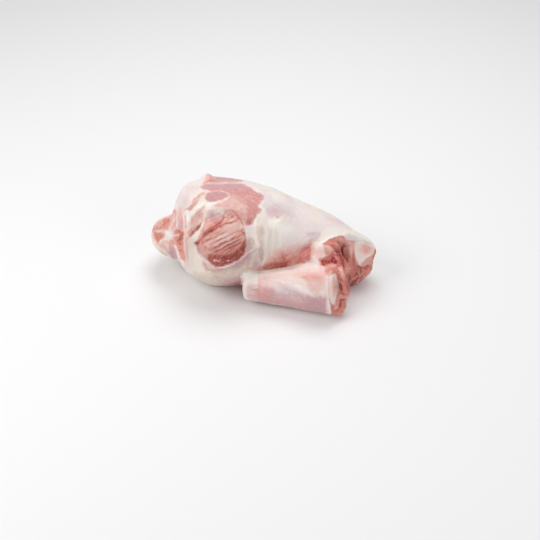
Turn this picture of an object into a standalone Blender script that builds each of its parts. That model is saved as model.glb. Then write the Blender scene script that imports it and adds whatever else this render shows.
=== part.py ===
"""A milk-fed lamb leg with its shank cut through at the knuckle and folded back along the haunch.

The haunch lies on its side along +X, from the cut rump at -X to the cut knuckle at +X. The shank hangs on by
a hinge of skin and flesh at the knuckle. It lies along the haunch's -Y side, with its narrow hock end to -X.
Lengths are metres and +Z is up. The leg rests on z = 0, and its box is centred on the origin in X and Y.
"""

import bisect
import math
from typing import NamedTuple

import bmesh
import bpy
import numpy as np
from mathutils import Euler, Matrix, Vector

# One row for each section across the haunch: x, centre y, centre z, half width, half height.
HAUNCH_SECTIONS = [
    (-0.094, 0.004, 0.050, 0.038, 0.033),
    (-0.078, 0.002, 0.0495, 0.047, 0.0425),
    (-0.060, 0.000, 0.048, 0.054, 0.050),
    (-0.043, -0.001, 0.047, 0.055, 0.050),
    (-0.025, -0.002, 0.046, 0.051, 0.0485),
    (-0.008, -0.003, 0.045, 0.045, 0.0455),
    (0.010, -0.003, 0.043, 0.040, 0.043),
    (0.027, -0.004, 0.039, 0.036, 0.0395),
    (0.045, -0.008, 0.036, 0.033, 0.0365),
    (0.062, -0.013, 0.0325, 0.032, 0.033),
    (0.078, -0.018, 0.0280, 0.028, 0.0280),
    (0.087, -0.018, 0.0262, 0.0245, 0.0240),
    (0.096, -0.017, 0.0268, 0.0170, 0.0168),
    (0.103, -0.017, 0.0275, 0.0090, 0.0090),
]
HAUNCH_RUMP_CAP = 0.018
HAUNCH_KNUCKLE_CAP = 0.006

# The shank's sections in the same way, from its narrow hock end to the cut end.
SHANK_SECTIONS = [
    (-0.0275, -0.0490, 0.0185, 0.0125, 0.0125),
    (-0.0100, -0.0500, 0.0185, 0.0142, 0.0145),
    (0.0055, -0.0520, 0.0187, 0.0157, 0.0162),
    (0.0210, -0.0540, 0.0200, 0.0176, 0.0186),
    (0.0380, -0.0560, 0.0230, 0.0222, 0.0236),
    (0.0500, -0.0582, 0.0230, 0.0222, 0.0236),
    (0.0595, -0.0615, 0.0215, 0.0205, 0.0219),
    (0.0680, -0.0610, 0.0205, 0.0158, 0.0172),
]
SHANK_HOCK_CAP = 0.006
SHANK_CUT_CAP = 0.008

# The cuts at the knuckle: the main face down to the board, and the facet through the bone's end.
KNUCKLE_CUT_POINT = (0.0790, -0.0285, 0.010)
KNUCKLE_CUT_NORMAL = (0.54, -0.84, 0.05)
BONE_FACET_POINT = (0.0886, -0.022, 0.0368)
BONE_FACET_NORMAL = (0.56, -0.68, 0.47)
# The hollow beside the cut, where the shank's bone came out: centre, radii and turn.
HOLLOW_CENTRE = (0.060, -0.037, 0.043)
HOLLOW_RADII = (0.017, 0.010, 0.019)
HOLLOW_TURN = (0.0, 0.25, 0.75)

# The oblique facet on the shank's cut end.
SHANK_FACET_POINT = (0.0574, -0.0730, 0.0335)
SHANK_FACET_NORMAL = (0.90, -0.365, 0.227)

# The cut across the rump's lobes.
RUMP_CUT_POINT = (-0.1100, -0.0020, 0.0380)
RUMP_CUT_NORMAL = (-0.70, -0.56, 0.44)
RUMP_LOBES = ("rump", "rump_low")

# Rounded masses of flesh: centre, radii, and turn about X, Y and Z in radians.
LOBES = {
    "rump": ((-0.0940, 0.006, 0.0370), (0.0205, 0.034, 0.0200), (-0.65, 0.0, 0.0)),
    "rump_low": ((-0.0860, 0.003, 0.0258), (0.017, 0.026, 0.0140), (-0.65, 0.45, 0.0)),
    "rump_web": ((-0.0850, 0.0270, 0.0300), (0.0160, 0.0200, 0.0200), (0.0, 0.0, 0.0)),
    "tail_fat": ((-0.061, 0.034, 0.0830), (0.0075, 0.007, 0.0060), (0.0, 0.0, 0.3)),
    "hinge_skin": ((0.0405, -0.0430, 0.0455), (0.013, 0.012, 0.008), (0.0, 0.0, 0.0)),
    "hinge_root": ((0.0450, -0.0370, 0.051), (0.009, 0.007, 0.007), (0.0, 0.3, 0.0)),
    "hinge_back": ((0.0545, -0.0440, 0.0385), (0.0110, 0.0060, 0.0090), (0.0, 0.0, 0.0)),
    "shank_end_top": ((0.0560, -0.0620, 0.0400), (0.0065, 0.008, 0.006), (0.0, 0.0, 0.0)),
    "shank_end_back": ((0.0645, -0.0545, 0.0330), (0.008, 0.009, 0.008), (0.0, 0.0, 0.0)),
    "shank_end_mid": ((0.0665, -0.0600, 0.0205), (0.0075, 0.009, 0.009), (0.0, 0.0, 0.0)),
    "shank_end_low": ((0.0620, -0.0670, 0.0100), (0.0080, 0.010, 0.009), (0.0, 0.0, 0.0)),
}

# Strands of flesh: the points that each runs through, with the radius there.
STRANDS = {
    "hinge_fold": [
        (0.0490, -0.0360, 0.0510, 0.0075),
        (0.0585, -0.0355, 0.0505, 0.0065),
        (0.0645, -0.0375, 0.0455, 0.0060),
        (0.0665, -0.0410, 0.0390, 0.0060),
        (0.0665, -0.0460, 0.0320, 0.0070),
    ],
}
STRAND_BEADS = 24
LOBE_SUBDIVISIONS = 4
BEAD_SUBDIVISIONS = 3

# Round patches that swell or sink: centre, radius, height (negative for a pit), depth of the rim's groove.
SWELLS = {
    "round_muscle": ((-0.0433, -0.0483, 0.0680), 0.0255, 0.0035, 0.0028),
    "rump_pit_high": ((-0.0815, -0.0330, 0.0690), 0.006, -0.0030, 0),
    "rump_pit_low": ((-0.0826, -0.0378, 0.0582), 0.006, -0.0035, 0),
    "seam_pit": ((-0.0660, -0.0430, 0.0770), 0.006, -0.0030, 0),
    "knuckle_muscle": ((0.0740, -0.0300, 0.0300), 0.016, 0.0025, 0),
    "knuckle_lump_high": ((0.0900, -0.0180, 0.0180), 0.009, 0.0020, 0),
    "knuckle_lump_mid": ((0.0840, -0.0250, 0.0110), 0.008, 0.0022, 0),
    "knuckle_lump_low": ((0.0750, -0.0300, 0.0080), 0.008, 0.0018, 0),
}
# The groove's width as a share of the patch's radius.
RIM_WIDTH = 0.17

# Ridges and seams along a line on the surface: half width, height or negative depth, and the line's points.
LINES = {
    "fold_edge": (0.0050, 0.0030, [
        (-0.0586, -0.0537, 0.0403), (-0.0383, -0.0556, 0.0430), (-0.0245, -0.0519, 0.0520),
        (-0.0145, -0.0471, 0.0616), (-0.0109, -0.0447, 0.0643),
    ]),
    "membrane_fold": (0.0040, 0.0022, [
        (-0.0127, -0.0364, 0.0774), (-0.0109, -0.0435, 0.0668), (-0.0119, -0.0482, 0.0545),
        (-0.0165, -0.0502, 0.0400),
    ]),
    "membrane_hollow": (0.0035, -0.0018, [
        (-0.0090, -0.0400, 0.0710), (-0.0080, -0.0450, 0.0600), (-0.0095, -0.0490, 0.0480),
    ]),
    "membrane_edge": (0.0035, 0.0015, [
        (-0.0064, -0.0362, 0.0750), (-0.0055, -0.0437, 0.0625), (-0.0073, -0.0475, 0.0494),
        (-0.0101, -0.0481, 0.0384),
    ]),
    "rump_crease": (0.0055, -0.0035, [
        (-0.0860, -0.0050, 0.0800), (-0.0756, -0.0279, 0.0837), (-0.0726, -0.0381, 0.0763),
        (-0.0727, -0.0457, 0.0628), (-0.0722, -0.0483, 0.0500), (-0.0718, -0.0476, 0.0403),
    ]),
    "upper_seam": (0.0035, -0.0012, [
        (-0.0649, 0.0056, 0.0966), (-0.0464, 0.0059, 0.0970), (-0.0280, 0.0102, 0.0936),
    ]),
    "slanting_seam": (0.0040, -0.0018, [(-0.0726, -0.0375, 0.0770), (-0.0607, -0.0315, 0.0883)]),
    "cut_lip": (0.0035, 0.0016, [
        (0.0440, -0.0386, 0.0577), (0.0552, -0.0329, 0.0592), (0.0677, -0.0242, 0.0586),
        (0.0815, -0.0150, 0.0532), (0.0920, -0.0120, 0.0430),
    ]),
    "hock_band": (0.0022, -0.0009, [
        (-0.0111, -0.0440, 0.0330), (-0.0129, -0.0560, 0.0320), (-0.0125, -0.0640, 0.0220),
        (-0.0111, -0.0624, 0.0121),
    ]),
    "shank_tendon": (0.0050, 0.0014, [
        (0.0060, -0.0600, 0.0320), (0.0272, -0.0689, 0.0348), (0.0470, -0.0789, 0.0300),
    ]),
    "back_seam_high": (0.0090, -0.0025, [
        (-0.0850, 0.0350, 0.0700), (-0.0300, 0.0430, 0.0720), (0.0250, 0.0290, 0.0560),
        (0.0750, 0.0080, 0.0400),
    ]),
    "back_seam_low": (0.0090, -0.0022, [
        (-0.0700, 0.0500, 0.0300), (-0.0150, 0.0460, 0.0280), (0.0450, 0.0240, 0.0220),
    ]),
}
LINE_STEPS = 12

# The bones, from the end that lies in the flesh to the cut end: centre x, y, z, and radius.
KNUCKLE_BONE = [
    (0.0400, -0.0060, 0.0370, 0.0070),
    (0.0600, -0.0090, 0.0365, 0.0072),
    (0.0760, -0.0140, 0.0365, 0.0095),
    (0.0850, -0.0190, 0.0365, 0.0115),
    (0.0950, -0.0250, 0.0375, 0.0120),
]
SHANK_BONE = [
    (-0.0320, -0.0490, 0.0185, 0.0060),
    (-0.0100, -0.0500, 0.0185, 0.0056),
    (0.0200, -0.0540, 0.0210, 0.0062),
    (0.0400, -0.0605, 0.0265, 0.0085),
    (0.0535, -0.0678, 0.0310, 0.0088),
    (0.0680, -0.0757, 0.0340, 0.0088),
]


class Head(NamedTuple):
    """A bone's head: its height as a share of its width, its lean, its three corners and their turn."""

    height: float = 1.0
    lean: float = 0.0
    corners: float = 0.0
    turn: float = 0.0


KNUCKLE_HEAD = Head(corners=0.16, turn=1.25)
SHANK_HEAD = Head(height=1.65, lean=0.55)
# Where along a bone its head starts to form and is full, as shares of the length.
HEAD_START = 0.5
HEAD_FULL = 0.9
BONE_CAP = 0.006
# How far to each side of a place, in rows, the bone's direction there is taken from.
BONE_STEP = 0.05
# How far the flesh stays from a bone that lies in it.
BONE_GAP = 0.0004
HOCK_CUT_X = -0.0258

# The gap between the shank and the haunch, and where along X the hinge starts to close it and has closed it.
SHANK_GAP = 0.0022
HINGE_START_X = 0.028
HINGE_FULL_X = 0.042

BODY_SEGMENTS = 96
BODY_RINGS = 72
BONE_SEGMENTS = 24
BONE_RINGS = 18
VOXEL = 0.0015
SMOOTHINGS = 6
SMOOTHING_SHARE = 0.5
LEG_TRIANGLES = 6500
SHARP_ANGLE = math.radians(40)

FLESH_COLOUR = (0.62, 0.33, 0.30, 1)
FLESH_ROUGHNESS = 0.42
BONE_COLOUR = (0.80, 0.70, 0.62, 1)
BONE_ROUGHNESS = 0.45


def clear_scene():
    for old in list(bpy.data.objects):
        bpy.data.objects.remove(old)


def smooth_step(low, high, value):
    t = min(max((value - low) / (high - low), 0.0), 1.0)
    return t * t * (3 - 2 * t)


def section_at(sections, x):
    """A section's values at x, on a cubic curve through the rows whose slopes come from their neighbours."""
    places = [row[0] for row in sections]
    if x <= places[0]:
        return sections[0][1:]
    if x >= places[-1]:
        return sections[-1][1:]
    i = bisect.bisect_right(places, x) - 1
    before, after = max(i - 1, 0), min(i + 2, len(sections) - 1)
    span = places[i + 1] - places[i]
    t = (x - places[i]) / span
    values = []
    for k in range(1, len(sections[0])):
        start, end = sections[i][k], sections[i + 1][k]
        start_slope = (end - sections[before][k]) / (places[i + 1] - places[before])
        end_slope = (sections[after][k] - start) / (places[after] - places[i])
        values.append(
            (2 * t**3 - 3 * t**2 + 1) * start
            + (t**3 - 2 * t**2 + t) * span * start_slope
            + (3 * t**2 - 2 * t**3) * end
            + (t**3 - t**2) * span * end_slope
        )
    return values


def rounded_end(distance, cap):
    """How far a section has opened at this distance from the body's end: a quarter ellipse over the cap."""
    return math.sqrt(1 - (1 - min(distance / cap, 1)) ** 2)


def lofted_body(sections, start_cap, end_cap):
    """A closed body through the sections, made from a sphere whose poles are its two ends."""
    body = bmesh.new()
    poles_on_x = Matrix.Rotation(math.pi / 2, 4, "Y")
    bmesh.ops.create_uvsphere(
        body, u_segments=BODY_SEGMENTS, v_segments=BODY_RINGS, radius=1, matrix=poles_on_x
    )
    first, last = sections[0][0], sections[-1][0]
    for vert in body.verts:
        x = first + (last - first) * (vert.co.x + 1) / 2
        y, z, half_width, half_height = section_at(sections, x)
        open_part = rounded_end(max(x - first, 0), start_cap) * rounded_end(max(last - x, 0), end_cap)
        angle = math.atan2(vert.co.z, vert.co.y)
        vert.co = Vector(
            (
                x,
                y + half_width * open_part * math.cos(angle),
                z + half_height * open_part * math.sin(angle),
            )
        )
    return body


def ellipsoid(centre, radii, turn):
    body = bmesh.new()
    place = Matrix.Translation(centre) @ Euler(turn).to_matrix().to_4x4() @ Matrix.Diagonal((*radii, 1))
    bmesh.ops.create_icosphere(body, subdivisions=LOBE_SUBDIVISIONS, radius=1, matrix=place)
    return body


def strand(points):
    """Overlapping beads along a curve through the points, which the remesh melts into one strand."""
    rows = [(k, *point) for k, point in enumerate(points)]
    beads = bmesh.new()
    for k in range(STRAND_BEADS):
        x, y, z, radius = section_at(rows, k * (len(points) - 1) / (STRAND_BEADS - 1))
        place = Matrix.Translation((x, y, z))
        bmesh.ops.create_icosphere(beads, subdivisions=BEAD_SUBDIVISIONS, radius=radius, matrix=place)
    return beads


def face_outwards(body):
    bmesh.ops.recalc_face_normals(body, faces=body.faces[:])
    if body.calc_volume(signed=True) < 0:
        bmesh.ops.reverse_faces(body, faces=body.faces[:])


def cut_by_plane(body, point, normal):
    """Takes off what lies on the normal's side of the plane, and closes the cut."""
    everything = body.verts[:] + body.edges[:] + body.faces[:]
    cut = bmesh.ops.bisect_plane(
        body, geom=everything, dist=1e-6, plane_co=point, plane_no=normal, clear_outer=True
    )
    rim = [item for item in cut["geom_cut"] if isinstance(item, bmesh.types.BMEdge)]
    bmesh.ops.triangle_fill(body, use_beauty=True, edges=rim, normal=normal)
    face_outwards(body)


def dent_for_shank(haunch):
    """Presses the haunch's flesh back from the shank that lies against it, except at the hinge."""
    for vert in haunch.verts:
        x = vert.co.x
        if not SHANK_SECTIONS[0][0] - SHANK_GAP < x < HINGE_FULL_X:
            continue
        y, z, half_width, half_height = section_at(SHANK_SECTIONS, x)
        from_hock = x - SHANK_SECTIONS[0][0] + SHANK_GAP
        reach = (half_width + half_height) / 2 * rounded_end(from_hock, 2 * SHANK_HOCK_CAP) + SHANK_GAP
        reach *= 1 - smooth_step(HINGE_START_X, HINGE_FULL_X, x)
        height = vert.co.z - z
        if abs(height) < reach:
            vert.co.y = max(vert.co.y, y + math.sqrt(reach**2 - height**2))


def curve_through(points, steps):
    """Points along a cubic curve through the given ones."""
    rows = [(k, *point) for k, point in enumerate(points)]
    count = steps * (len(points) - 1)
    return np.array([section_at(rows, k * (len(points) - 1) / count) for k in range(count + 1)])


def distance_to_line(places, line):
    """How far each place is from a line of straight pieces."""
    nearest = np.full(len(places), np.inf)
    for start, end in zip(line[:-1], line[1:]):
        along = end - start
        part = np.clip((places - start) @ along / (along @ along), 0, 1)
        nearest = np.minimum(nearest, np.linalg.norm(places - start - part[:, None] * along, axis=1))
    return nearest


def rows_of(collection, name):
    """A mesh collection's vectors as an array with a row for each."""
    values = np.empty(len(collection) * 3)
    collection.foreach_get(name, values)
    return values.reshape(-1, 3)


def sculpt(mesh):
    """Moves the surface along its normals for each swell, ridge and seam."""
    places = rows_of(mesh.vertices, "co")
    normals = rows_of(mesh.vertex_normals, "vector")
    lift = np.zeros(len(places))
    for centre, radius, height, rim in SWELLS.values():
        off = np.linalg.norm(places - np.array(centre), axis=1) / radius
        lift += height * np.clip(1 - off**2, 0, 1) ** 1.5
        lift -= rim * np.exp(-(((off - 1) / RIM_WIDTH) ** 2))
    for half_width, height, points in LINES.values():
        off = distance_to_line(places, curve_through(points, LINE_STEPS)) / half_width
        lift += height * np.exp(-(off**2))
    mesh.vertices.foreach_set("co", (places + normals * lift[:, None]).ravel())
    mesh.update()


def bone_body(rows, widen, head):
    """A closed rod through the rows, ending in the bone's head."""
    body = bmesh.new()
    bmesh.ops.create_uvsphere(body, u_segments=BONE_SEGMENTS, v_segments=BONE_RINGS, radius=1)
    path = [(k, *row) for k, row in enumerate(rows)]
    last = len(rows) - 1
    length = sum(math.dist(a[:3], b[:3]) for a, b in zip(rows[:-1], rows[1:]))
    for vert in body.verts:
        t = (vert.co.z + 1) / 2 * last
        x, y, z, radius = section_at(path, t)
        ahead = Vector(section_at(path, min(t + BONE_STEP, last))[:3])
        behind = Vector(section_at(path, max(t - BONE_STEP, 0))[:3])
        forward = (ahead - behind).normalized()
        side = forward.cross(Vector((0, 0, 1))).normalized()
        up = side.cross(forward)
        formed = smooth_step(last * HEAD_START, last * HEAD_FULL, t)
        angle = math.atan2(vert.co.y, vert.co.x)
        to_end = min(t, last - t) / last * length
        reach = (radius + widen) * rounded_end(to_end, BONE_CAP)
        reach *= 1 + head.corners * formed * math.cos(3 * (angle - head.turn))
        lean = head.lean * formed
        across = side * math.cos(lean) + up * math.sin(lean)
        along = up * math.cos(lean) - side * math.sin(lean)
        tall = 1 + (head.height - 1) * formed
        vert.co = Vector((x, y, z)) + reach * (across * math.cos(angle) + along * tall * math.sin(angle))
    face_outwards(body)
    return body


def object_from(body, name):
    mesh = bpy.data.meshes.new(name)
    body.to_mesh(mesh)
    body.free()
    made = bpy.data.objects.new(name, mesh)
    bpy.context.scene.collection.objects.link(made)
    return made


def apply_modifiers(obj):
    bpy.context.view_layer.update()
    graph = bpy.context.evaluated_depsgraph_get()
    mesh = bpy.data.meshes.new_from_object(obj.evaluated_get(graph))
    obj.modifiers.clear()
    obj.data = mesh


def subtract(obj, cutter):
    """Takes the cutter's volume out of the object and removes the cutter."""
    boolean = obj.modifiers.new("cut", "BOOLEAN")
    boolean.operation = "DIFFERENCE"
    boolean.object = cutter
    apply_modifiers(obj)
    bpy.data.objects.remove(cutter)


def joined(bodies, name):
    """All the objects' meshes in one object, still overlapping."""
    whole = bmesh.new()
    for body in bodies:
        whole.from_mesh(body.data)
        bpy.data.objects.remove(body)
    return object_from(whole, name)


def make_haunch():
    haunch = lofted_body(HAUNCH_SECTIONS, HAUNCH_RUMP_CAP, HAUNCH_KNUCKLE_CAP)
    dent_for_shank(haunch)
    cut_by_plane(haunch, KNUCKLE_CUT_POINT, KNUCKLE_CUT_NORMAL)
    cut_by_plane(haunch, BONE_FACET_POINT, BONE_FACET_NORMAL)
    haunch = object_from(haunch, "haunch")
    subtract(haunch, object_from(ellipsoid(HOLLOW_CENTRE, HOLLOW_RADII, HOLLOW_TURN), "hollow"))
    return haunch


def make_shank():
    shank = lofted_body(SHANK_SECTIONS, SHANK_HOCK_CAP, SHANK_CUT_CAP)
    cut_by_plane(shank, SHANK_FACET_POINT, SHANK_FACET_NORMAL)
    cut_by_plane(shank, (HOCK_CUT_X, 0, 0), (-1, 0, 0))
    return object_from(shank, "shank")


def make_lobe(name):
    lobe = ellipsoid(*LOBES[name])
    if name in RUMP_LOBES:
        cut_by_plane(lobe, RUMP_CUT_POINT, RUMP_CUT_NORMAL)
    return object_from(lobe, name)


def make_knuckle_bone():
    bone = bone_body(KNUCKLE_BONE, 0, KNUCKLE_HEAD)
    cut_by_plane(bone, BONE_FACET_POINT, BONE_FACET_NORMAL)
    return object_from(bone, "knuckle_bone")


def make_shank_bone():
    bone = bone_body(SHANK_BONE, 0, SHANK_HEAD)
    cut_by_plane(bone, SHANK_FACET_POINT, SHANK_FACET_NORMAL)
    cut_by_plane(bone, (HOCK_CUT_X, 0, 0), (-1, 0, 0))
    return object_from(bone, "shank_bone")


def plain_material(name, colour, roughness):
    made = bpy.data.materials.new(name)
    made.use_nodes = True
    shader = made.node_tree.nodes["Principled BSDF"]
    shader.inputs["Base Color"].default_value = colour
    shader.inputs["Roughness"].default_value = roughness
    shader.inputs["Metallic"].default_value = 0
    made.diffuse_color = colour
    return made


def one_skin(bodies):
    """Melts the overlapping bodies into one closed surface and softens its creases."""
    leg = joined(bodies, "lamb_leg")
    remesh = leg.modifiers.new("one_skin", "REMESH")
    remesh.mode = "VOXEL"
    remesh.voxel_size = VOXEL
    soften = leg.modifiers.new("soften", "SMOOTH")
    soften.factor = SMOOTHING_SHARE
    soften.iterations = SMOOTHINGS
    apply_modifiers(leg)
    return leg


def fewer_faces(obj, triangles):
    decimate = obj.modifiers.new("fewer_faces", "DECIMATE")
    decimate.ratio = triangles / (2 * len(obj.data.polygons))
    decimate.use_collapse_triangulate = True
    apply_modifiers(obj)


def flatten_base(obj):
    """Cuts the flesh flat where it rests."""
    body = bmesh.new()
    body.from_mesh(obj.data)
    cut_by_plane(body, (0, 0, 0), (0, 0, -1))
    body.to_mesh(obj.data)
    body.free()


def make_leg():
    bodies = [make_haunch(), make_shank()]
    bodies += [make_lobe(name) for name in LOBES]
    bodies += [object_from(strand(points), name) for name, points in STRANDS.items()]
    leg = one_skin(bodies)
    sculpt(leg.data)
    fewer_faces(leg, LEG_TRIANGLES)
    flatten_base(leg)
    subtract(leg, object_from(bone_body(KNUCKLE_BONE, BONE_GAP, KNUCKLE_HEAD), "knuckle_pocket"))
    subtract(leg, object_from(bone_body(SHANK_BONE, BONE_GAP, SHANK_HEAD), "shank_pocket"))
    return leg


def centre_on_origin(pieces):
    """Moves every mesh so that the whole box is centred on the origin in X and Y."""
    places = np.concatenate([rows_of(piece.data.vertices, "co") for piece in pieces])
    middle = (places.min(axis=0) + places.max(axis=0)) / 2
    for piece in pieces:
        piece.data.transform(Matrix.Translation((-middle[0], -middle[1], 0)))


def finish_piece(piece, material):
    piece.data.materials.append(material)
    piece.data.shade_smooth()
    piece.data.set_sharp_from_angle(angle=SHARP_ANGLE)


def main():
    clear_scene()
    leg, knuckle_bone, shank_bone = make_leg(), make_knuckle_bone(), make_shank_bone()
    centre_on_origin([leg, knuckle_bone, shank_bone])
    finish_piece(leg, plain_material("raw_lamb", FLESH_COLOUR, FLESH_ROUGHNESS))
    for bone in (knuckle_bone, shank_bone):
        finish_piece(bone, plain_material(bone.name, BONE_COLOUR, BONE_ROUGHNESS))


main()
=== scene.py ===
"""The finished look of a raw milk-fed lamb leg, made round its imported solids.

It is laid out as an add-on: its sizes and colours are properties, each piece has an operator, and a panel in the
3D view's sidebar lists them. Lengths are metres and +Z is up.
"""

import math
from typing import NamedTuple

import bmesh
import bpy
import numpy as np
from mathutils import Color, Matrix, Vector, noise
from mathutils.bvhtree import BVHTree


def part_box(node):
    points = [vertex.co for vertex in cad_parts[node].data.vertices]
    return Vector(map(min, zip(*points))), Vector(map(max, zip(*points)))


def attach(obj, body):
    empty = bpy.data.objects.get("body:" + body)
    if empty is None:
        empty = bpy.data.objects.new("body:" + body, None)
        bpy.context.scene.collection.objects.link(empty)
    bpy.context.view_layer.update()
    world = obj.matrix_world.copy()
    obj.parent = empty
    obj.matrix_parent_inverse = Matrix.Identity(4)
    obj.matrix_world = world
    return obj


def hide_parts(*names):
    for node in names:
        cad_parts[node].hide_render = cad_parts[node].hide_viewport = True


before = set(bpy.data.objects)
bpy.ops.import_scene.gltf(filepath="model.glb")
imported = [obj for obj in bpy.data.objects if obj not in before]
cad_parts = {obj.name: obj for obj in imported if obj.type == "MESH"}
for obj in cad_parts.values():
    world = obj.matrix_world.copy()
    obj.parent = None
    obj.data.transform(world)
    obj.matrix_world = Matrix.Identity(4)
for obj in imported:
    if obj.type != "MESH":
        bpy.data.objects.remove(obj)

bl_info = {
    "name": "Milk-fed lamb leg",
    "version": (1, 0, 0),
    "blender": (4, 5, 0),
    "location": "3D View > Sidebar > Lamb leg",
    "description": "Makes a raw lamb leg with its muscles, fat, skin and cut bones",
    "category": "Add Mesh",
}

# The camera that took the view: its place, how far it looks down, and its lens in photograph pixels.
CAMERA_PLACE = (0.0061, -0.8391, 0.6495)
CAMERA_DOWN = math.radians(37.3)
PHOTO_SIZE = 540
PHOTO_LENS = 1097
SENSOR_WIDTH = 36
CLIP_START = 0.05

# Every tone of the meat: what it is for, and its colour as sRGB from 0 to 255.
# Besides the meat's own colours, some tones are also laid as painted light and shade; each such place is marked.
TONES = {
    "fat": ("Dry fat cover", (240, 231, 224)),
    # White is also laid as painted light on parts in shade: along the shank's top edge and over the thigh bone's upper
    # rim.
    "white": ("Membrane and the whitest fat", (250, 245, 239)),
    "cream": ("Creamy fat low on the haunch", (237, 222, 208)),
    "beige": ("Fat in the shade of a fold", (205, 181, 167)),
    "lavender": ("Cool thin skin", (230, 214, 217)),
    # Mauve is also laid as painted shade: under the fold of fat, in the membrane's valleys, beside the hinge and low on
    # the shank.
    "mauve": ("Skin with muscle under it", (196, 160, 168)),
    "skin": ("Skin of the shank", (241, 216, 211)),
    "blush": ("Pink flush", (238, 190, 182)),
    "rose": ("Smooth muscle", (214, 160, 160)),
    # Dusty is also laid as painted shade above the shank's top edge, along the fold under the round muscle and low on
    # the rump.
    "dusty": ("Ridged muscle", (213, 160, 150)),
    "coral": ("Fresh cut muscle", (225, 144, 131)),
    "salmon": ("Moist cut muscle", (208, 122, 106)),
    "red": ("Dark muscle", (170, 74, 60)),
    # Deep is partly painted shade: besides the darkest flesh, it darkens crevices, grooves and hollows.
    "deep": ("Crevices", (118, 20, 14)),
    "scarlet": ("Fresh red hollows", (172, 10, 8)),
    "bone": ("Bone and gristle", (250, 224, 214)),
}

TONE_NAMES = list(TONES)
LEAN_TONES = ("rose", "dusty", "coral", "salmon", "red", "deep", "scarlet")
# The tones that gather in the furrows between the bundles of fibres, partly as painted shade.
DARK_TONES = ("salmon", "red", "deep")
# A tone's shares below this are dropped, so that a faint trace of it doesn't grow into flecks.
LEAST_SHARE = 0.04
# An attribute holds a red, green, blue and alpha value, and so four tones.
TONES_IN_ATTRIBUTE = 4

# The bones' nodes, and the names of the pieces that stand for them.
BONES = {"knuckle_bone": "thigh_bone", "shank_bone": "shin_bone"}

# The shank's middle line and radius, from the hock end to the cut: x, y, z, radius.
SHANK_AXIS = [
    (-0.0214, -0.0355, 0.0185, 0.0125),
    (-0.0039, -0.0365, 0.0185, 0.0143),
    (0.0116, -0.0385, 0.0187, 0.0160),
    (0.0271, -0.0405, 0.0200, 0.0181),
    (0.0441, -0.0425, 0.0230, 0.0229),
    (0.0561, -0.0447, 0.0230, 0.0229),
    (0.0656, -0.0480, 0.0215, 0.0212),
    (0.0741, -0.0475, 0.0205, 0.0165),
]
# How far from that line a vertex still belongs to the shank: this many radii, and this many metres more.
SHANK_SLACK = 1.06
SHANK_REACH = 0.0011


class Patch(NamedTuple):
    """A closed area of one tone. Its outline and its edge's softness are in the photograph's pixels.

    Streaks is how far it breaks up into streaks, from 0 to 1, and slope is how many degrees they rise.
    """

    tone: str
    outline: list
    share: float = 1.0
    edge: float = 0.8
    rise: float = 0.0
    streaks: float = 0.0
    slope: float = 0.0


class Stroke(NamedTuple):
    """A line of one tone, a ridge or a groove. Its points and half width are in the photograph's pixels."""

    tone: str
    points: list
    width: float
    share: float = 1.0
    rise: float = 0.0


class Blob(NamedTuple):
    """An area of one tone where an ellipsoid meets the surface, for the sides that the photograph hides."""

    tone: str
    centre: tuple
    radii: tuple
    share: float = 1.0
    edge: float = 0.3
    rise: float = 0.0


class Seam(NamedTuple):
    """A line of one tone over the surface, a ridge or a groove. Its points and half width are in metres."""

    tone: str
    points: list
    width: float
    share: float = 1.0
    rise: float = 0.0


# The sides that the photograph hides: places in metres.
HIDDEN_SIDES = [
    Blob("rose", (-0.034, 0.028, 0.090), (0.024, 0.024, 0.012), 0.9, 0.2, -0.0003),
    Blob("rose", (-0.062, 0.066, 0.056), (0.024, 0.016, 0.016), 0.75, 0.3, -0.0003),
    Blob("mauve", (-0.010, 0.062, 0.050), (0.030, 0.014, 0.014), 0.55, 0.5),
    Blob("mauve", (0.050, 0.040, 0.040), (0.026, 0.014, 0.012), 0.45, 0.5),
    Blob("cream", (-0.030, 0.060, 0.015), (0.060, 0.030, 0.018), 0.6, 0.5),
    Blob("blush", (0.020, 0.045, 0.070), (0.030, 0.020, 0.016), 0.35, 0.6),
    Blob("coral", (-0.092, 0.045, 0.045), (0.014, 0.016, 0.016), 0.5, 0.5),
    Blob("dusty", (0.015, -0.020, 0.022), (0.046, 0.016, 0.024), 0.85, 0.25),
    Blob("salmon", (0.086, -0.016, 0.018), (0.024, 0.016, 0.030), 1.0, 0.12),
    Blob("red", (0.068, -0.024, 0.040), (0.017, 0.014, 0.020), 1.0, 0.15),
    Blob("salmon", (0.072, -0.042, 0.022), (0.013, 0.024, 0.026), 1.0, 0.12),
    Blob("deep", (0.070, -0.030, 0.020), (0.010, 0.008, 0.016), 0.6, 0.4),
]

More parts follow.
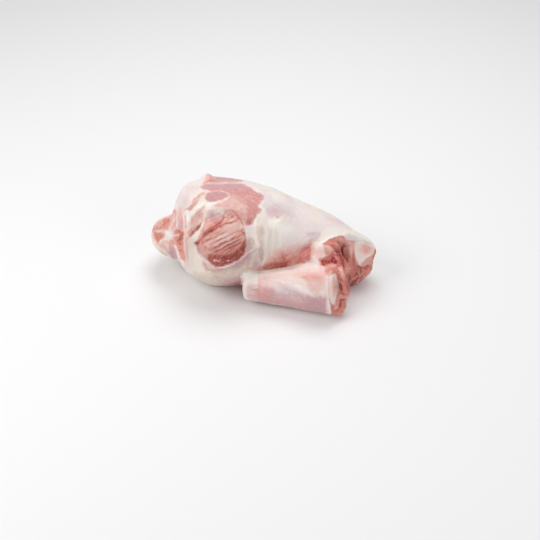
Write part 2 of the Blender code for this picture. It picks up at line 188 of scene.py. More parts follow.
HIDDEN_SEAMS = [
    Seam("mauve", [(-0.058, 0.056, 0.080), (-0.030, 0.060, 0.074), (0.010, 0.052, 0.066), (0.050, 0.040, 0.056),
                   (0.085, 0.026, 0.045)], 0.0022, 0.55, -0.0008),
    Seam("white", [(-0.052, 0.058, 0.076), (-0.026, 0.062, 0.070), (0.014, 0.054, 0.062), (0.052, 0.042, 0.052)],
         0.0018, 0.5, 0.0006),
    Seam("rose", [(-0.096, 0.040, 0.062), (-0.070, 0.060, 0.056), (-0.040, 0.066, 0.046), (0.000, 0.062, 0.038)],
         0.0016, 0.5, -0.0009),
    Seam("white", [(-0.092, 0.044, 0.056), (-0.068, 0.064, 0.050), (-0.038, 0.068, 0.040)], 0.0020, 0.5, 0.0007),
    Seam("blush", [(-0.020, 0.062, 0.060), (-0.010, 0.064, 0.048), (0.008, 0.062, 0.040)], 0.0009, 0.6),
    Seam("rose", [(0.030, 0.050, 0.052), (0.042, 0.048, 0.040), (0.060, 0.038, 0.034)], 0.0009, 0.5),
    Seam("blush", [(-0.040, 0.050, 0.084), (-0.014, 0.046, 0.082), (0.010, 0.034, 0.082)], 0.0011, 0.5, -0.0003),
    Seam("cream", [(-0.100, 0.052, 0.034), (-0.080, 0.064, 0.030), (-0.050, 0.068, 0.022)], 0.0030, 0.5, 0.0007),
    Seam("dusty", [(-0.104, 0.038, 0.040), (-0.098, 0.048, 0.052), (-0.086, 0.054, 0.066)], 0.0014, 0.6, -0.0008),
]

# Dents and fillings on every side: places in metres.
DENTS = [
    Blob("fat", (-0.0605, 0.0300, 0.0945), (0.008, 0.012, 0.008), 0.2, 0.5, -0.0022),
    Blob("rose", (-0.0455, 0.0340, 0.0945), (0.006, 0.012, 0.008), 0.2, 0.5, -0.0014),
    Blob("salmon", (0.1040, -0.0020, 0.0230), (0.007, 0.010, 0.007), 0.2, 0.5, -0.0018),
    Blob("salmon", (0.1000, -0.0050, 0.0130), (0.005, 0.007, 0.005), 0.2, 0.4, 0.0007),
    Blob("coral", (0.0730, -0.0115, 0.0508), (0.008, 0.008, 0.008), 0.4, 0.6, 0.0030),
    Blob("red", (0.0745, -0.0230, 0.0455), (0.0055, 0.0055, 0.0110), 0.2, 0.5, -0.0034),
    Blob("coral", (0.0785, -0.0155, 0.0460), (0.004, 0.004, 0.009), 0.2, 0.5, 0.0012),
    Blob("coral", (0.0755, -0.0128, 0.0405), (0.0028, 0.0036, 0.0072), 0.3, 0.5, 0.0028),
    Blob("fat", (-0.0660, 0.0340, 0.0920), (0.011, 0.020, 0.011), 0.1, 0.6, -0.0020),
    Blob("fat", (-0.0040, 0.0340, 0.0890), (0.022, 0.022, 0.012), 0.1, 0.7, 0.0017),
]

# The haunch's fat cover, its smooth muscles and the strips between them, with painted shade on its lower band.
HAUNCH_TOP = [
    Patch("cream", [
        (188, 240), (194, 250), (204, 263), (222, 272), (240, 263), (252, 259), (262, 270), (262, 292), (225, 292),
        (195, 284), (178, 270), (184, 255),
    ], 0.7, 3.0),
    # Painted shade: beige over the lower band of fat, which faces down.
    Patch("beige", [(212, 270), (226, 268), (240, 262), (252, 255), (262, 262), (263, 288), (240, 290), (216, 283)],
          0.5, 5.0),
    Patch("beige", [(194, 272), (206, 275), (225, 280), (240, 284), (240, 292), (215, 288), (196, 280)], 0.35, 3.0),
    Patch("blush", [(184, 262), (189, 262), (191, 268), (187, 270)], 0.4, 1.5),
    Patch("lavender", [(179, 200), (182, 190), (190, 183), (197, 181), (204, 184), (196, 192), (186, 206), (178, 213)],
          0.5, 3.5),
    Patch("mauve", [(182, 196), (188, 188), (196, 184), (202, 186), (194, 192), (187, 200)], 0.15, 3.0),
    Patch("blush", [(184, 196), (190, 195), (189, 203), (184, 206)], 0.4, 2.0, 0.0, 0.4, 60),
    Patch("cream", [(190, 193), (197, 189.6), (204, 190.6), (197, 196), (191, 200), (188, 198)], 0.5, 1.8),
    Patch("rose", [
        (213, 177), (222, 175), (232, 175), (240, 177.5), (244, 181.3), (236, 181.9), (214, 181.6), (206, 180.6),
    ], 0.9, 0.8, -0.0012),
    Patch("mauve", [(214, 176), (232, 175), (242, 180), (232, 181), (216, 180.6)], 0.35, 1.2),
    Patch("coral", [
        (200.5, 181.2), (204, 178), (207.5, 172), (211, 173.5), (216, 177.5), (214, 180.6), (206, 181.4),
    ], 0.7, 1.0, -0.0008),
    Patch("rose", [(210, 174), (218, 173), (218, 180), (212, 180.6)], 0.6, 1.2, -0.0016),
    Patch("blush", [(202, 180), (207.4, 173.6), (210.4, 174.6), (208, 178)], 0.7, 1.0),
    Stroke("salmon", [(208.5, 177.5), (210, 178.6), (212.5, 179.4)], 0.8, 0.6, -0.0003),
    Stroke("blush", [(200.5, 182.8), (206, 182.7), (214, 182.5), (226, 182.4), (241, 182.9)], 0.8, 0.7, 0.0004),
    Stroke("dusty", [(201, 182.8), (214, 182.6), (226, 182.6), (242, 183.1)], 1.2, 0.5),
    Patch("rose", [
        (199.3, 184.8), (206, 184.0), (225, 183.9), (241, 184.3), (247, 187), (252, 190), (256, 192.5), (261, 194),
        (263.6, 196.5), (263.8, 199), (261, 203), (258, 205.6), (259.4, 208), (262, 210.5), (259, 213.5),
        (256, 217), (254.4, 221), (252, 224.6), (248.6, 226), (245.6, 224), (243.6, 220), (239.5, 217.8),
        (236, 213), (229, 210), (224, 208), (215, 206), (219, 202.6), (226, 199.4), (229.6, 195.6), (226, 192.6),
        (218, 190.6), (210.4, 191.4), (204, 189.6),
    ], 0.95, 1.1, -0.0003),
    Patch("dusty", [(222, 199), (232, 196), (246, 200), (252, 212), (246, 219), (238, 215), (228, 208), (216, 206)],
          0.6, 2.5),
    Patch("coral", [
        (238, 193), (250, 191), (262, 196), (258, 205), (260, 211), (252, 222), (246, 219), (244, 206), (236, 199),
    ], 0.2, 2.5, 0.0, 0.7, -38),
    Patch("salmon", [(230, 190), (246, 189), (261, 196), (259, 204), (256, 216), (248, 222), (246, 204), (238, 196)],
          0.3, 2.5, 0.0, 0.6, -24),
    Patch("mauve", [(206, 184.4), (225, 184), (242, 185), (250, 189.6), (240, 188.8), (222, 188), (206, 188)], 0.45,
          1.5),
    Patch("dusty", [(199, 195), (205, 193), (206, 199), (201, 201.6)], 0.25, 2.0),
    Stroke("salmon", [(208, 190), (218, 189.6), (228, 191.4), (236, 194)], 0.9, 0.3, -0.0002),
    Patch("blush", [(214, 204), (222, 200), (230, 195), (240, 197), (249, 206), (246, 216), (236, 212), (226, 207)],
          0.3, 2.5, 0.0, 0.5, -30),
    Patch("blush", [(208, 206), (218, 203), (226, 200), (236, 200), (245, 208), (247, 220), (245.4, 229),
                    (241, 221), (236, 213.6), (228, 210), (216, 209.6)], 0.4, 1.8),
    Patch("dusty", [(224, 204), (234, 202), (244, 208), (246.4, 218), (245, 227), (241, 219), (236, 212),
                    (228, 208.6)], 0.45, 1.8, 0.0, 0.5, -36),
    Patch("fat", [(214, 205), (218, 202), (226, 198), (234, 198), (244, 205), (244, 212), (234, 210), (224, 207)],
          0.14, 2.2, 0.0, 0.6, -26),
    Patch("white", [(236.4, 206), (239.6, 205.4), (241.4, 208), (239, 210), (236.6, 209)], 0.2, 1.4),
    Stroke("fat", [(238, 203), (243, 207.5), (246, 212)], 0.8, 0.25, 0.0002),
    Stroke("fat", [(230.4, 195.4), (228.4, 197.8), (225, 199.8), (220, 202), (214, 203)], 1.2, 0.45, 0.0002),
    Patch("rose", [
        (205.6, 197.4), (206.2, 194.4), (210, 191.9), (218, 191), (225, 192.8), (229, 194.9), (226.4, 197.2),
        (222, 199.6), (214, 201.2), (209, 201.9), (206.6, 200),
    ], 0.95, 0.8, -0.0002),
    Patch("salmon", [(206, 196), (211, 192.2), (220, 192), (227, 195.4), (217, 200.8), (209, 201.4)], 0.55, 1.2),
    Patch("mauve", [(206, 196), (211, 192.2), (222, 192.4), (227, 195), (216, 200.4), (208.4, 201)], 0.5, 1.2),
    Patch("red", [(207, 196), (213, 193), (222, 194), (216, 199), (210, 199.6)], 0.12, 2.0),
    Stroke("fat", [(203.6, 190.4), (208, 190.6), (211.4, 191)], 0.9, 0.6, 0.0002),
    Patch("red", [(246.6, 222), (248, 219), (251.6, 219.2), (252, 222.6), (250, 225), (247.4, 224.8)], 0.5, 1.2,
          -0.0003),
    Stroke("mauve", [(252.8, 220.4), (253.6, 222.4)], 0.9, 0.5),
    Patch("dusty", [
        (204.4, 191.7), (200.5, 193.3), (196.5, 196), (192.3, 200.2), (190.8, 204), (187.6, 208.6), (187.8, 211),
        (192, 209.4), (196, 205.4), (199, 201), (201.2, 197.4), (204.4, 194.4),
    ], 0.75, 1.0, -0.0004, 0.35, 48),
    Stroke("blush", [(203.6, 192.8), (199.6, 196), (195.4, 200), (191.4, 206)], 0.7, 0.6, 0.0002),
    Stroke("rose", [(185.2, 210.6), (186.6, 208.8), (188.6, 207.4)], 0.7, 0.75, -0.0004),
    Stroke("salmon", [(188.6, 210.6), (191.4, 208.4), (195.6, 204.6)], 0.8, 0.4, -0.0003),
    Patch("cream", [(199.6, 200), (203, 198.6), (206, 200.6), (204.6, 204.4), (200.4, 205)], 0.5, 1.4),
    Patch("dusty", [
        (191, 221), (194, 216.6), (198, 214.2), (203.4, 212), (204.4, 218), (202.6, 223), (199.5, 225.5),
        (196, 228), (191.4, 229),
    ], 0.75, 1.2, -0.0002, 0.35, 42),
    Patch("blush", [(192, 220), (198, 217), (202.4, 217), (199.6, 223.4), (193, 226)], 0.4, 1.5),
    Patch("blush", [(200, 210), (207, 204), (210, 208), (206, 216), (203, 222), (200, 218)], 0.5, 1.6, 0.0, 0.6, 55),
    Stroke("dusty", [(205.4, 205.2), (202, 208.5), (199, 211.8), (195.5, 214.6), (192.8, 217.4), (189.4, 219.8)],
           1.4, 0.75, -0.0005),
    Stroke("salmon", [(200.4, 210.6), (197.4, 213), (194.6, 215)], 0.9, 0.6, -0.0003),
    Patch("salmon", [
        (190.4, 228), (196, 227.2), (201.4, 223), (200, 228), (196, 231.6), (192, 236), (188.4, 240), (187.6, 236),
        (189, 231),
    ], 0.7, 1.2, -0.0002, 0.25, 46),
    Patch("coral", [(188.4, 231), (191, 229.6), (192.4, 231.6), (190, 236), (188, 237.4)], 0.6, 1.0),
    Stroke("red", [(201.2, 223.8), (199, 226.6), (196, 229.4), (193.4, 232.6), (190.6, 236)], 1.2, 0.8, -0.0006),
    Stroke("deep", [(199.6, 226), (197.6, 228), (195.6, 229.6)], 0.7, 0.6, -0.0002),
    Stroke("white", [(204.6, 201), (201, 205.4), (195, 210.6), (188.6, 216.4)], 1.2, 0.55, 0.0005),
    Stroke("fat", [(203, 207.6), (198.6, 211), (194, 214.4), (190.6, 217.6)], 0.7, 0.35, 0.0003),
    Patch("white", [(205, 206), (209.6, 202.6), (212, 205), (210, 208.8), (205.6, 209.6)], 0.5, 1.4, 0.0003),
    Stroke("fat", [(204.8, 211.4), (204.4, 217), (203.8, 222.4)], 0.8, 0.5, 0.0003),
    Stroke("blush", [(207.6, 211), (206.6, 217), (205.4, 223)], 0.8, 0.35, 0.0002),
    Patch("cream", [
        (203.6, 222), (201.6, 226), (199.6, 229.6), (196, 232.4), (192.4, 237), (188.6, 241), (187.6, 248),
        (194, 248), (195.6, 241), (197.6, 236), (200.6, 231), (202.8, 226.6),
    ], 0.85, 0.9, 0.0004),
    Stroke("white", [(203, 224), (200, 230.6), (195.4, 235.4), (191.4, 240.6)], 0.8, 0.5, 0.0002),
    Patch("dusty", [(195.6, 209.6), (200.6, 209), (201, 214.6), (196, 215)], 0.3, 1.6),
    Patch("cream", [(187.6, 237), (191, 237), (190.6, 247), (187.6, 247)], 0.5, 1.5),
]

# The round ridged muscle, its grooves and the fold of fat under it. The grooves' dark red is partly painted shade.
ROUND_MUSCLE_OUTLINE = [
    (195.8, 243), (198.2, 237.4), (201.4, 231), (204.6, 222), (206.4, 213.6), (210, 210), (217.5, 208.8),
    (224, 208), (229, 209.6), (234.6, 211.9), (238.4, 216.9), (242.6, 221.6), (244, 228.9), (245.8, 235),
    (245.8, 242), (244.8, 251), (241.9, 256.9), (235.9, 260.6), (228.1, 264.8), (217.5, 266.6), (212.6, 265.1),
    (209, 261.9), (205.6, 258.4), (201.2, 255), (197.4, 250.9), (195.6, 246),
]
ROUND_MUSCLE = [
    Patch("dusty", ROUND_MUSCLE_OUTLINE, 1.0, 0.9, -0.0003),
    Patch("blush", ROUND_MUSCLE_OUTLINE, 0.6, 1.5, 0.0, 0.7, 31),
    Patch("salmon", ROUND_MUSCLE_OUTLINE, 0.35, 1.5, 0.0, 0.7, 34),
    Patch("red", ROUND_MUSCLE_OUTLINE, 0.05, 1.5),
    Patch("fat", [(205, 214), (211, 208), (222, 207), (232, 209), (228, 215), (218, 217), (208, 220)], 0.4, 2.0, 0.0,
          0.6, 24),
    Patch("fat", [(206, 213), (212, 209), (222, 208.6), (226, 211), (220, 214.6), (210, 217)], 0.45, 2.0),
    Patch("mauve", [(208, 212), (214, 209.6), (221, 210.4), (217, 214), (210, 217)], 0.3, 1.5, 0.0, 0.6, 20),
    Patch("blush", [(226, 228), (236, 223), (242, 225), (243.6, 230), (244, 238), (234, 240), (222, 244),
                    (208, 246), (205, 243), (216, 236)], 0.75, 2.0),
    Patch("salmon", [(212, 220), (222, 216), (226, 224), (220, 232), (210, 236), (206, 234), (214, 226)], 0.3, 2.0),
    Patch("beige", [(222, 227), (236, 222), (243, 228), (240, 236), (226, 240), (210, 243)], 0.25, 2.5),
    Patch("blush", [(226, 212), (232, 212), (239, 218), (240, 222), (231, 220), (226, 217)], 0.5, 1.8),
    Patch("salmon", [(208, 224), (213, 219.6), (219, 218.4), (221, 221.4), (214, 226), (207, 230), (204, 231)], 0.5,
          1.5, 0.0, 0.4, 32),
    Patch("salmon", [(199.6, 240), (203.4, 234), (208, 229.6), (214.6, 225.8), (221, 222.4), (219, 226), (212, 229.6),
                     (206, 233.6)], 0.8, 1.0, -0.0002),
    Patch("red", [(203, 232.6), (208, 229.4), (213.6, 228), (213, 231.6), (208, 233.4), (203.6, 236)], 0.6, 1.2),
    Patch("salmon", [(233, 236.4), (239, 231.6), (243.8, 228), (245.6, 234), (240, 236.4), (232.6, 239.8)], 0.5, 1.2),
    Patch("salmon", [(216, 252.6), (226, 248), (236, 244), (245.4, 241), (245.4, 248), (236, 251), (226, 255),
                     (218, 255)], 0.5, 2.5),
    Patch("red", [
        (245.4, 240), (241.4, 246), (234.6, 252), (226, 255), (216, 254.6), (209, 255), (207, 258.6), (210.8, 262.6),
        (217.5, 266.4), (228.1, 264.6), (240.5, 257.9), (245.2, 251),
    ], 0.9, 1.5),
    Patch("deep", [(245, 245), (241.6, 248), (236.6, 251.4), (230, 254.4), (222, 256), (224, 260.6), (232, 262),
                   (239.4, 258), (244.4, 251.6)], 0.35, 1.8),
    Patch("salmon", [(211, 215), (222, 215), (225, 218), (219, 221), (211, 220)], 0.3, 2.0),
    Patch("fat", [(213, 209.6), (222, 209.4), (223, 214), (215, 215)], 0.35, 1.5),
    Patch("dusty", [(225, 210), (231, 210.4), (232, 214.6), (226, 214.6)], 0.45, 1.5),
    Patch("mauve", [(209, 214), (216, 212), (222, 215), (221, 221), (210, 222)], 0.4, 1.8),
    Patch("fat", [(240.6, 224), (244, 226), (245, 230.6), (241, 230)], 0.35, 1.2),
    Stroke("salmon", [(243, 233), (244.6, 237), (244.4, 242)], 1.8, 0.45),
    Patch("blush", [(221, 219), (230, 218), (232, 223), (226, 226), (220, 224)], 0.45, 1.6),
    Patch("blush", [(205, 225), (212, 222), (216, 226), (211, 230), (205, 230)], 0.35, 1.6),
    Patch("fat", [(216, 236), (226, 232), (230, 236), (222, 240), (215, 240)], 0.25, 2.0),
    Stroke("deep", [(214.6, 256.6), (218, 256)], 1.2, 0.35),
    Stroke("deep", [(216, 264), (222, 263), (229, 262.4), (236, 258.6)], 0.9, 0.35),
    Stroke("red", [(195.4, 241.4), (196.8, 243.6), (199.8, 241.4)], 1.8, 0.9, -0.0006),
    Stroke("deep", [(196, 242.4), (196.8, 243.4), (198.6, 242.2)], 1.0, 0.5),
    Stroke("red", [
        (196.6, 243.6), (200, 240), (203.4, 236.6), (207, 233.2), (210.4, 231.6), (214, 229.8), (219, 226.6),
        (225, 224), (231, 222.4), (235.6, 220.6), (238.6, 219),
    ], 1.0, 0.9, -0.0007),
    Stroke("deep", [(204.4, 235.4), (207.4, 232.8), (210.4, 231.6), (214, 230)], 0.9, 0.55, -0.0003),
    Stroke("red", [(204.5, 231.2), (210, 228), (215, 225.6), (219, 223.4), (221.2, 221.8), (222.6, 218.6),
                   (224.6, 214), (226.6, 209.8)], 1.1, 0.75, -0.0007),
    Stroke("deep", [(217, 224.4), (219.6, 223), (221.2, 221.6)], 0.8, 0.35, -0.0002),
    Stroke("salmon", [(228, 209.4), (234.6, 211.6), (238, 216.6), (241.6, 220.6), (243.4, 226)], 0.9, 0.6, -0.0004),
    Stroke("red", [(237, 220), (238.4, 218.8), (239.2, 217.6)], 0.9, 0.6, -0.0003),
    Stroke("red", [(243, 228.2), (242.8, 231.6), (245.2, 234.6)], 0.8, 0.5, -0.0003),
    Stroke("red", [(202, 243.2), (207, 240.6), (212, 238.2), (216, 236.6), (221, 233.8), (228, 231)], 0.9, 0.55,
           -0.0005),
    Stroke("red", [(203.6, 248.4), (210, 244.6), (216.6, 241.4), (224, 238), (232, 234), (240, 229.6)], 0.8, 0.6,
           -0.0005),
    Stroke("red", [(207.3, 249.8), (212, 249.4), (217, 247), (222, 244.2), (226, 242.2), (232, 239.8), (237, 237.4),
                   (242, 233)], 0.9, 0.75, -0.0006),
    Stroke("red", [(212, 253.4), (216, 251.5), (221, 249.2), (226, 246.6), (230, 244.2), (233.4, 242.4),
                   (237.4, 240.4), (243.4, 237)], 1.0, 0.85, -0.0006),
    Stroke("deep", [(226, 247), (231, 243.8), (236, 241)], 0.8, 0.2),
    Stroke("red", [(222.6, 252.8), (228, 249.6), (231.4, 247.6), (236, 245), (241.6, 241.4)], 0.9, 0.7, -0.0004),
    Stroke("deep", [(225.6, 254.2), (229, 252.2), (232, 250.2), (235.4, 247.6)], 0.8, 0.4, -0.0003),
    Stroke("red", [(225.6, 218.6), (229, 215.4), (232, 213.4)], 0.8, 0.4, -0.0003),
    Stroke("red", [(225.8, 221.8), (230, 218.4), (234.4, 215.4)], 0.8, 0.45, -0.0003),
    # Painted highlights: small pale glints between the grooves.
    Stroke("fat", [(223.4, 253), (226.4, 251.2), (229, 249.4)], 0.8, 0.35, 0.0002),
    Stroke("fat", [(220, 247.6), (227, 243.6), (233.6, 241.2), (241, 238)], 0.9, 0.25, 0.0003),
    Stroke("fat", [(206, 246.4), (213, 242.8), (222, 240.4), (231, 236.6), (240, 230.4)], 1.1, 0.25, 0.0003),
    Stroke("fat", [(206, 238), (213, 234), (220, 230), (230, 226), (238, 223)], 1.1, 0.3, 0.0003),
    # Painted highlights: glints low on the muscle, in fat and blush.
    Stroke("fat", [(213, 258.4), (214.6, 260.8), (216.4, 260.2), (218.4, 261.8), (220.2, 259.6)], 0.9, 0.42, 0.0002),
    Stroke("blush", [(228, 260), (229.2, 261.2)], 0.9, 0.45, 0.0002),
    Patch("fat", [(205.4, 260.8), (208.6, 263.4), (212, 266.2), (216, 267.4), (224, 267), (220, 268.8), (212, 269.6),
                  (207.4, 268.6), (205.4, 265)], 0.9, 0.8, 0.0006),
    Stroke("mauve", [(196.2, 247.5), (198.2, 252), (201.4, 256.6), (205, 260.6)], 0.8, 0.55, -0.0004),
    Stroke("white", [(194.8, 247), (196.4, 252.5), (199.7, 257.5), (203.8, 262)], 0.8, 0.4, 0.0003),
    # Painted shade: dusty and mauve under the fold of fat, with the fold's pale edge between.
    Stroke("dusty", [(203.4, 261), (205, 266), (208.6, 270), (214, 271)], 0.9, 0.55, -0.0007),
    Stroke("mauve", [(215, 269.4), (221, 269.6), (227, 268.4), (236, 264.6)], 0.8, 0.5, -0.0006),
    Stroke("white", [
        (222, 269), (228, 266.2), (236, 262.2), (243, 257), (247, 254), (251, 251), (254.8, 247.4), (256.6, 243),
    ], 0.8, 0.4, 0.0008),
    # More painted shade under the fold's edge.
    Stroke("mauve", [(231, 268.4), (238, 265), (246, 259), (251, 254)], 1.6, 0.4, -0.0005),
    Patch("dusty", [(203, 259), (208, 263.6), (214, 267), (226, 268), (226, 272), (212, 271.6), (204, 267)], 0.45,
          2.0),
    # Painted shade: rose, mauve, red and deep on the haunch's shaded underside beside the hock.
    Patch("rose", [(218, 284), (230, 276), (242, 274), (246, 282), (241, 291), (228, 291)], 0.35, 5.0),
    Patch("mauve", [(222, 284), (232, 279), (242, 277), (246, 284), (241, 289), (230, 289)], 0.55, 4.0),
    Patch("red", [(229, 286), (236, 283), (243, 282), (243.5, 285), (241, 289), (234, 288)], 0.55, 3.0),
    Patch("deep", [(228, 284.6), (236, 282.4), (243, 282), (241, 289), (232, 288)], 0.2, 2.0),
]

# The membrane folds, the thin skin behind them and the flush on the shaded underside, which is partly painted shade.
MEMBRANE = [
    Patch("lavender", [(264, 204), (276, 200), (290, 203), (294, 212), (284, 220), (270, 219)], 0.6, 4.0),
    Patch("mauve", [(262, 205), (268, 201), (278, 203), (287, 208), (293, 215), (287, 219), (276, 218), (267, 214)],
          0.4, 4.0),
    Patch("blush", [(268, 210), (276, 206), (284, 209), (280, 216), (271, 216)], 0.2, 3.0),
    Stroke("white", [(262, 212), (266, 206), (272, 202)], 2.0, 0.3),
    Patch("lavender", [(284, 204), (300, 206), (318, 216), (334, 226), (330, 236), (314, 238), (296, 232), (284, 220)],
          0.5, 6.0),
    Patch("lavender", [(253, 186), (262, 190), (272, 196), (270, 206), (264, 204), (264, 194)], 0.7, 2.0),
    Patch("lavender", [(280, 232), (296, 234), (310, 240), (300, 248), (284, 248), (276, 242)], 0.5, 5.0),
    Patch("mauve", [(276, 250), (286, 240), (298, 240), (306, 246), (298, 256), (284, 260)], 0.5, 5.0, 0.0, 0.3, 22),
    Patch("mauve", [(302, 237), (310, 232), (320, 233), (319, 238.5), (312, 241.5), (304, 241)], 0.4, 2.5),
    Patch("lavender", [(322, 215), (333, 214.5), (343, 221), (340, 228), (328, 226)], 0.4, 4.0),
    Stroke("blush", [(326, 219), (333, 219.6), (339, 222.6)], 1.8, 0.35),
    Patch("cream", [(313, 215), (317, 213.5), (321, 218), (318, 221.5), (314, 219)], 0.5, 2.0),
    Patch("cream", [(262, 216), (270, 218), (284, 215), (290, 220), (285, 232), (276, 250), (266, 262), (262, 250)],
          0.55, 3.0),
    Patch("white", [(270, 220), (282, 218), (296, 222), (300, 228), (288, 236), (276, 236)], 0.35, 4.0, 0.0, 0.8, -24),
    Patch("blush", [(276, 240), (284, 236), (290, 240), (286, 248), (276, 254)], 0.3, 4.0),
    Patch("white", [(272, 224), (282, 222), (290, 228), (284, 242), (274, 250)], 0.4, 4.0),
    Patch("lavender", [(247, 226), (252.6, 225.6), (253, 234), (248.4, 237)], 0.6, 1.6),
    # Painted shade: mauve and beige beside the round muscle's right edge.
    Patch("mauve", [(246.6, 240), (251, 238), (254.6, 240), (253, 245.6), (247.4, 252), (245.8, 250)], 0.6, 1.8),
    Patch("beige", [(247.6, 238), (252, 236.6), (255, 238.6), (254, 244), (249, 247)], 0.35, 1.5),
    Patch("blush", [(258, 274), (262, 262), (270, 252), (282, 246), (298, 243), (310, 240), (314, 250), (312, 259),
                    (300, 266), (285, 270), (266, 274)], 0.65, 6.0),
    Patch("salmon", [(261, 274), (264, 266), (272, 258), (284, 253), (296, 252), (305, 246), (312, 243.4),
                     (313, 252), (311, 261), (300, 267), (285, 271), (266, 274)], 0.6, 5.0),
    Patch("mauve", [(296, 252), (303, 245), (310, 242), (312, 248), (308, 254), (300, 257)], 0.35, 3.0),
    Patch("salmon", [(300, 254), (306, 248.4), (311.2, 245), (312, 250), (310.6, 259), (303, 263), (297, 262)], 0.45,
          3.0),
    # Partly painted shade: red and deep darken the underside along the shank.
    Patch("red", [(262, 273), (265, 268), (273, 264.6), (283, 261), (290, 261), (286, 267), (279, 271), (268, 273)],
          0.7, 3.2),
    Patch("deep", [(266, 272), (271.6, 267), (277, 266), (280, 268), (277, 271.6)], 0.3, 2.5),
    Stroke("red", [(278, 270.6), (287, 268.4), (297, 266), (306, 262.4)], 1.6, 0.55),
    Stroke("red", [(281.8, 252), (282.6, 257.4), (284.4, 261.6)], 1.8, 0.25, -0.0002),
    Stroke("blush", [(285.4, 258.8), (288.2, 257), (291, 254.6)], 1.1, 0.6, 0.0003),
    Stroke("blush", [(292, 261), (298, 257.6), (303, 254)], 1.2, 0.35, 0.0003),
    # Painted shade: a red line on the haunch beside the hinge's lump.
    Stroke("red", [(310, 244.4), (309.4, 248), (308.4, 253), (305, 258.6)], 1.1, 0.55, -0.0005),
    Stroke("cream", [(260, 214.6), (257.2, 221), (256, 229), (256.8, 236), (256, 243)], 1.6, 0.8, 0.0008),
    # Painted shade in the valleys of the folds: beige and mauve pockets between the pale ridges.
    Patch("beige", [
        (262.4, 223.6), (264.4, 226.6), (265.4, 231), (265.6, 237), (264.6, 243), (261.6, 247), (258.8, 244.6),
        (258, 238), (258.6, 231), (260.2, 226.4),
    ], 0.4, 2.2, -0.0006),
    Patch("lavender", [(263, 234), (265.6, 235), (265, 243), (262.4, 246), (262, 240)], 0.5, 1.4),
    Patch("mauve", [(259, 248.6), (262.2, 248.6), (264, 253), (263.8, 258), (261, 262.4), (259.2, 258)], 0.5, 1.4,
          -0.0006),
    Patch("beige", [(258.8, 247), (262.6, 247), (264.4, 253), (264, 258.6), (261, 263), (258.8, 258)], 0.4, 1.4),
    Stroke("white", [(264, 224.4), (266.6, 231), (267.2, 238), (267, 245), (266, 251)], 1.7, 0.5, 0.0007),
    Patch("cream", [(265, 247), (271, 246), (271, 256), (266, 256)], 0.4, 1.8),
    Stroke("cream", [(266.6, 246), (265.6, 252), (264.4, 257), (262.6, 263), (260, 270)], 1.4, 0.7, 0.0008),
    # Painted shade: beige lines in the valleys between the cream ridges.
    Stroke("beige", [(270.6, 230), (271.2, 240), (270.6, 250), (268.6, 259)], 1.5, 0.25, -0.0004),
    Stroke("cream", [(274.6, 225), (274.6, 236), (273.6, 246), (271.4, 256)], 2.4, 0.4, 0.0005),
    Stroke("beige", [(278.4, 232), (278, 242), (276.6, 251)], 1.6, 0.2, -0.0003),
    Stroke("white", [(282, 230), (281.4, 238), (280, 246)], 1.8, 0.3, 0.0003),
    Patch("white", [(268, 220), (273, 219), (280, 219.4), (279, 223.6), (273, 227), (268.6, 225)], 0.7, 2.6, 0.0003),
    Stroke("white", [(286, 214.6), (281, 219.6), (277, 224.6), (274, 231)], 1.6, 0.35, 0.0003),
    Stroke("mauve", [(276.2, 216), (278.4, 217.6)], 1.0, 0.5, -0.0003),
    Stroke("white", [(249, 258), (246, 262), (243, 268)], 1.0, 0.4, 0.0005),
    # Painted shade: a mauve line between the white folds.
    Stroke("mauve", [(252, 256), (249, 262), (247.6, 268)], 1.2, 0.4, -0.0005),
    Stroke("white", [(255.4, 250), (253.4, 257), (253, 266)], 1.3, 0.35, 0.0005),
    Patch("mauve", [(253, 262), (259, 262), (260, 272), (252, 272)], 0.55, 2.0),
    Stroke("dusty", [(262, 262), (260, 267), (259, 272)], 1.2, 0.45, -0.0004),
    # Painted shade in the fold under the round muscle's right side: beige, mauve and dusty.
    Patch("beige", [(226, 269), (236, 264), (244, 258), (247, 248), (247, 240), (252, 241), (257, 245), (258, 257),
                    (250, 263), (238, 269)], 0.6, 2.2),
    Patch("mauve", [(228, 268), (236, 263), (244, 258), (247, 248), (252, 246), (255, 252), (248, 260), (238, 267)],
          0.5, 2.2),
    Patch("dusty", [(230, 267), (237, 262), (244, 257), (247, 249), (250, 250), (247, 258), (240, 265)], 0.55, 1.6),
    Patch("fat", [(266, 237), (284, 233), (306, 233), (310, 240), (296, 245), (280, 249), (268, 248)], 0.6, 3.5),
    # More painted shade in that fold.
    Patch("mauve", [(238, 262), (244, 255), (248, 256), (244, 262), (239, 266)], 0.35, 1.6),
    Patch("red", [(256, 269), (262, 264.6), (272, 262.6), (286, 263), (284, 267), (270, 268.6), (258, 270)], 0.45,
          1.6),
    # Painted light: white and skin on the haunch, in shade along the shank's top edge.
    Patch("white", [(244, 273.4), (250, 272.4), (258, 271.6), (270, 270.2), (285, 268), (292, 270), (285, 277),
                    (262, 280), (244, 280)], 0.85, 1.0),
    Patch("skin", [(262, 271), (272, 270), (292, 268), (285, 277), (262, 280)], 0.6, 1.2),
    # Painted shade: a dusty and red band on the haunch above that.
    Stroke("dusty", [(240, 271.4), (248, 269), (257, 267.8), (266, 267), (275, 266.4), (283, 264.6)], 1.8, 0.5),
    Stroke("red", [(262, 267.4), (268, 267), (275, 266.4), (283, 264.6)], 1.5, 0.45),
    # Painted shade: mauve and deep on the haunch beside the hinge's lump.
    Patch("mauve", [(303, 248), (309, 246), (311, 254), (308, 260), (302, 259)], 0.4, 1.8),
    Patch("deep", [(304, 248), (309.6, 247), (310.4, 257), (304, 259)], 0.2, 2.0),
    # More painted shade along the same fold.
    Stroke("dusty", [(229, 265.6), (236, 262), (242, 258), (246, 254)], 2.0, 0.5),
    Stroke("mauve", [(231, 264.6), (238, 261), (244, 256.6)], 1.6, 0.35),
]

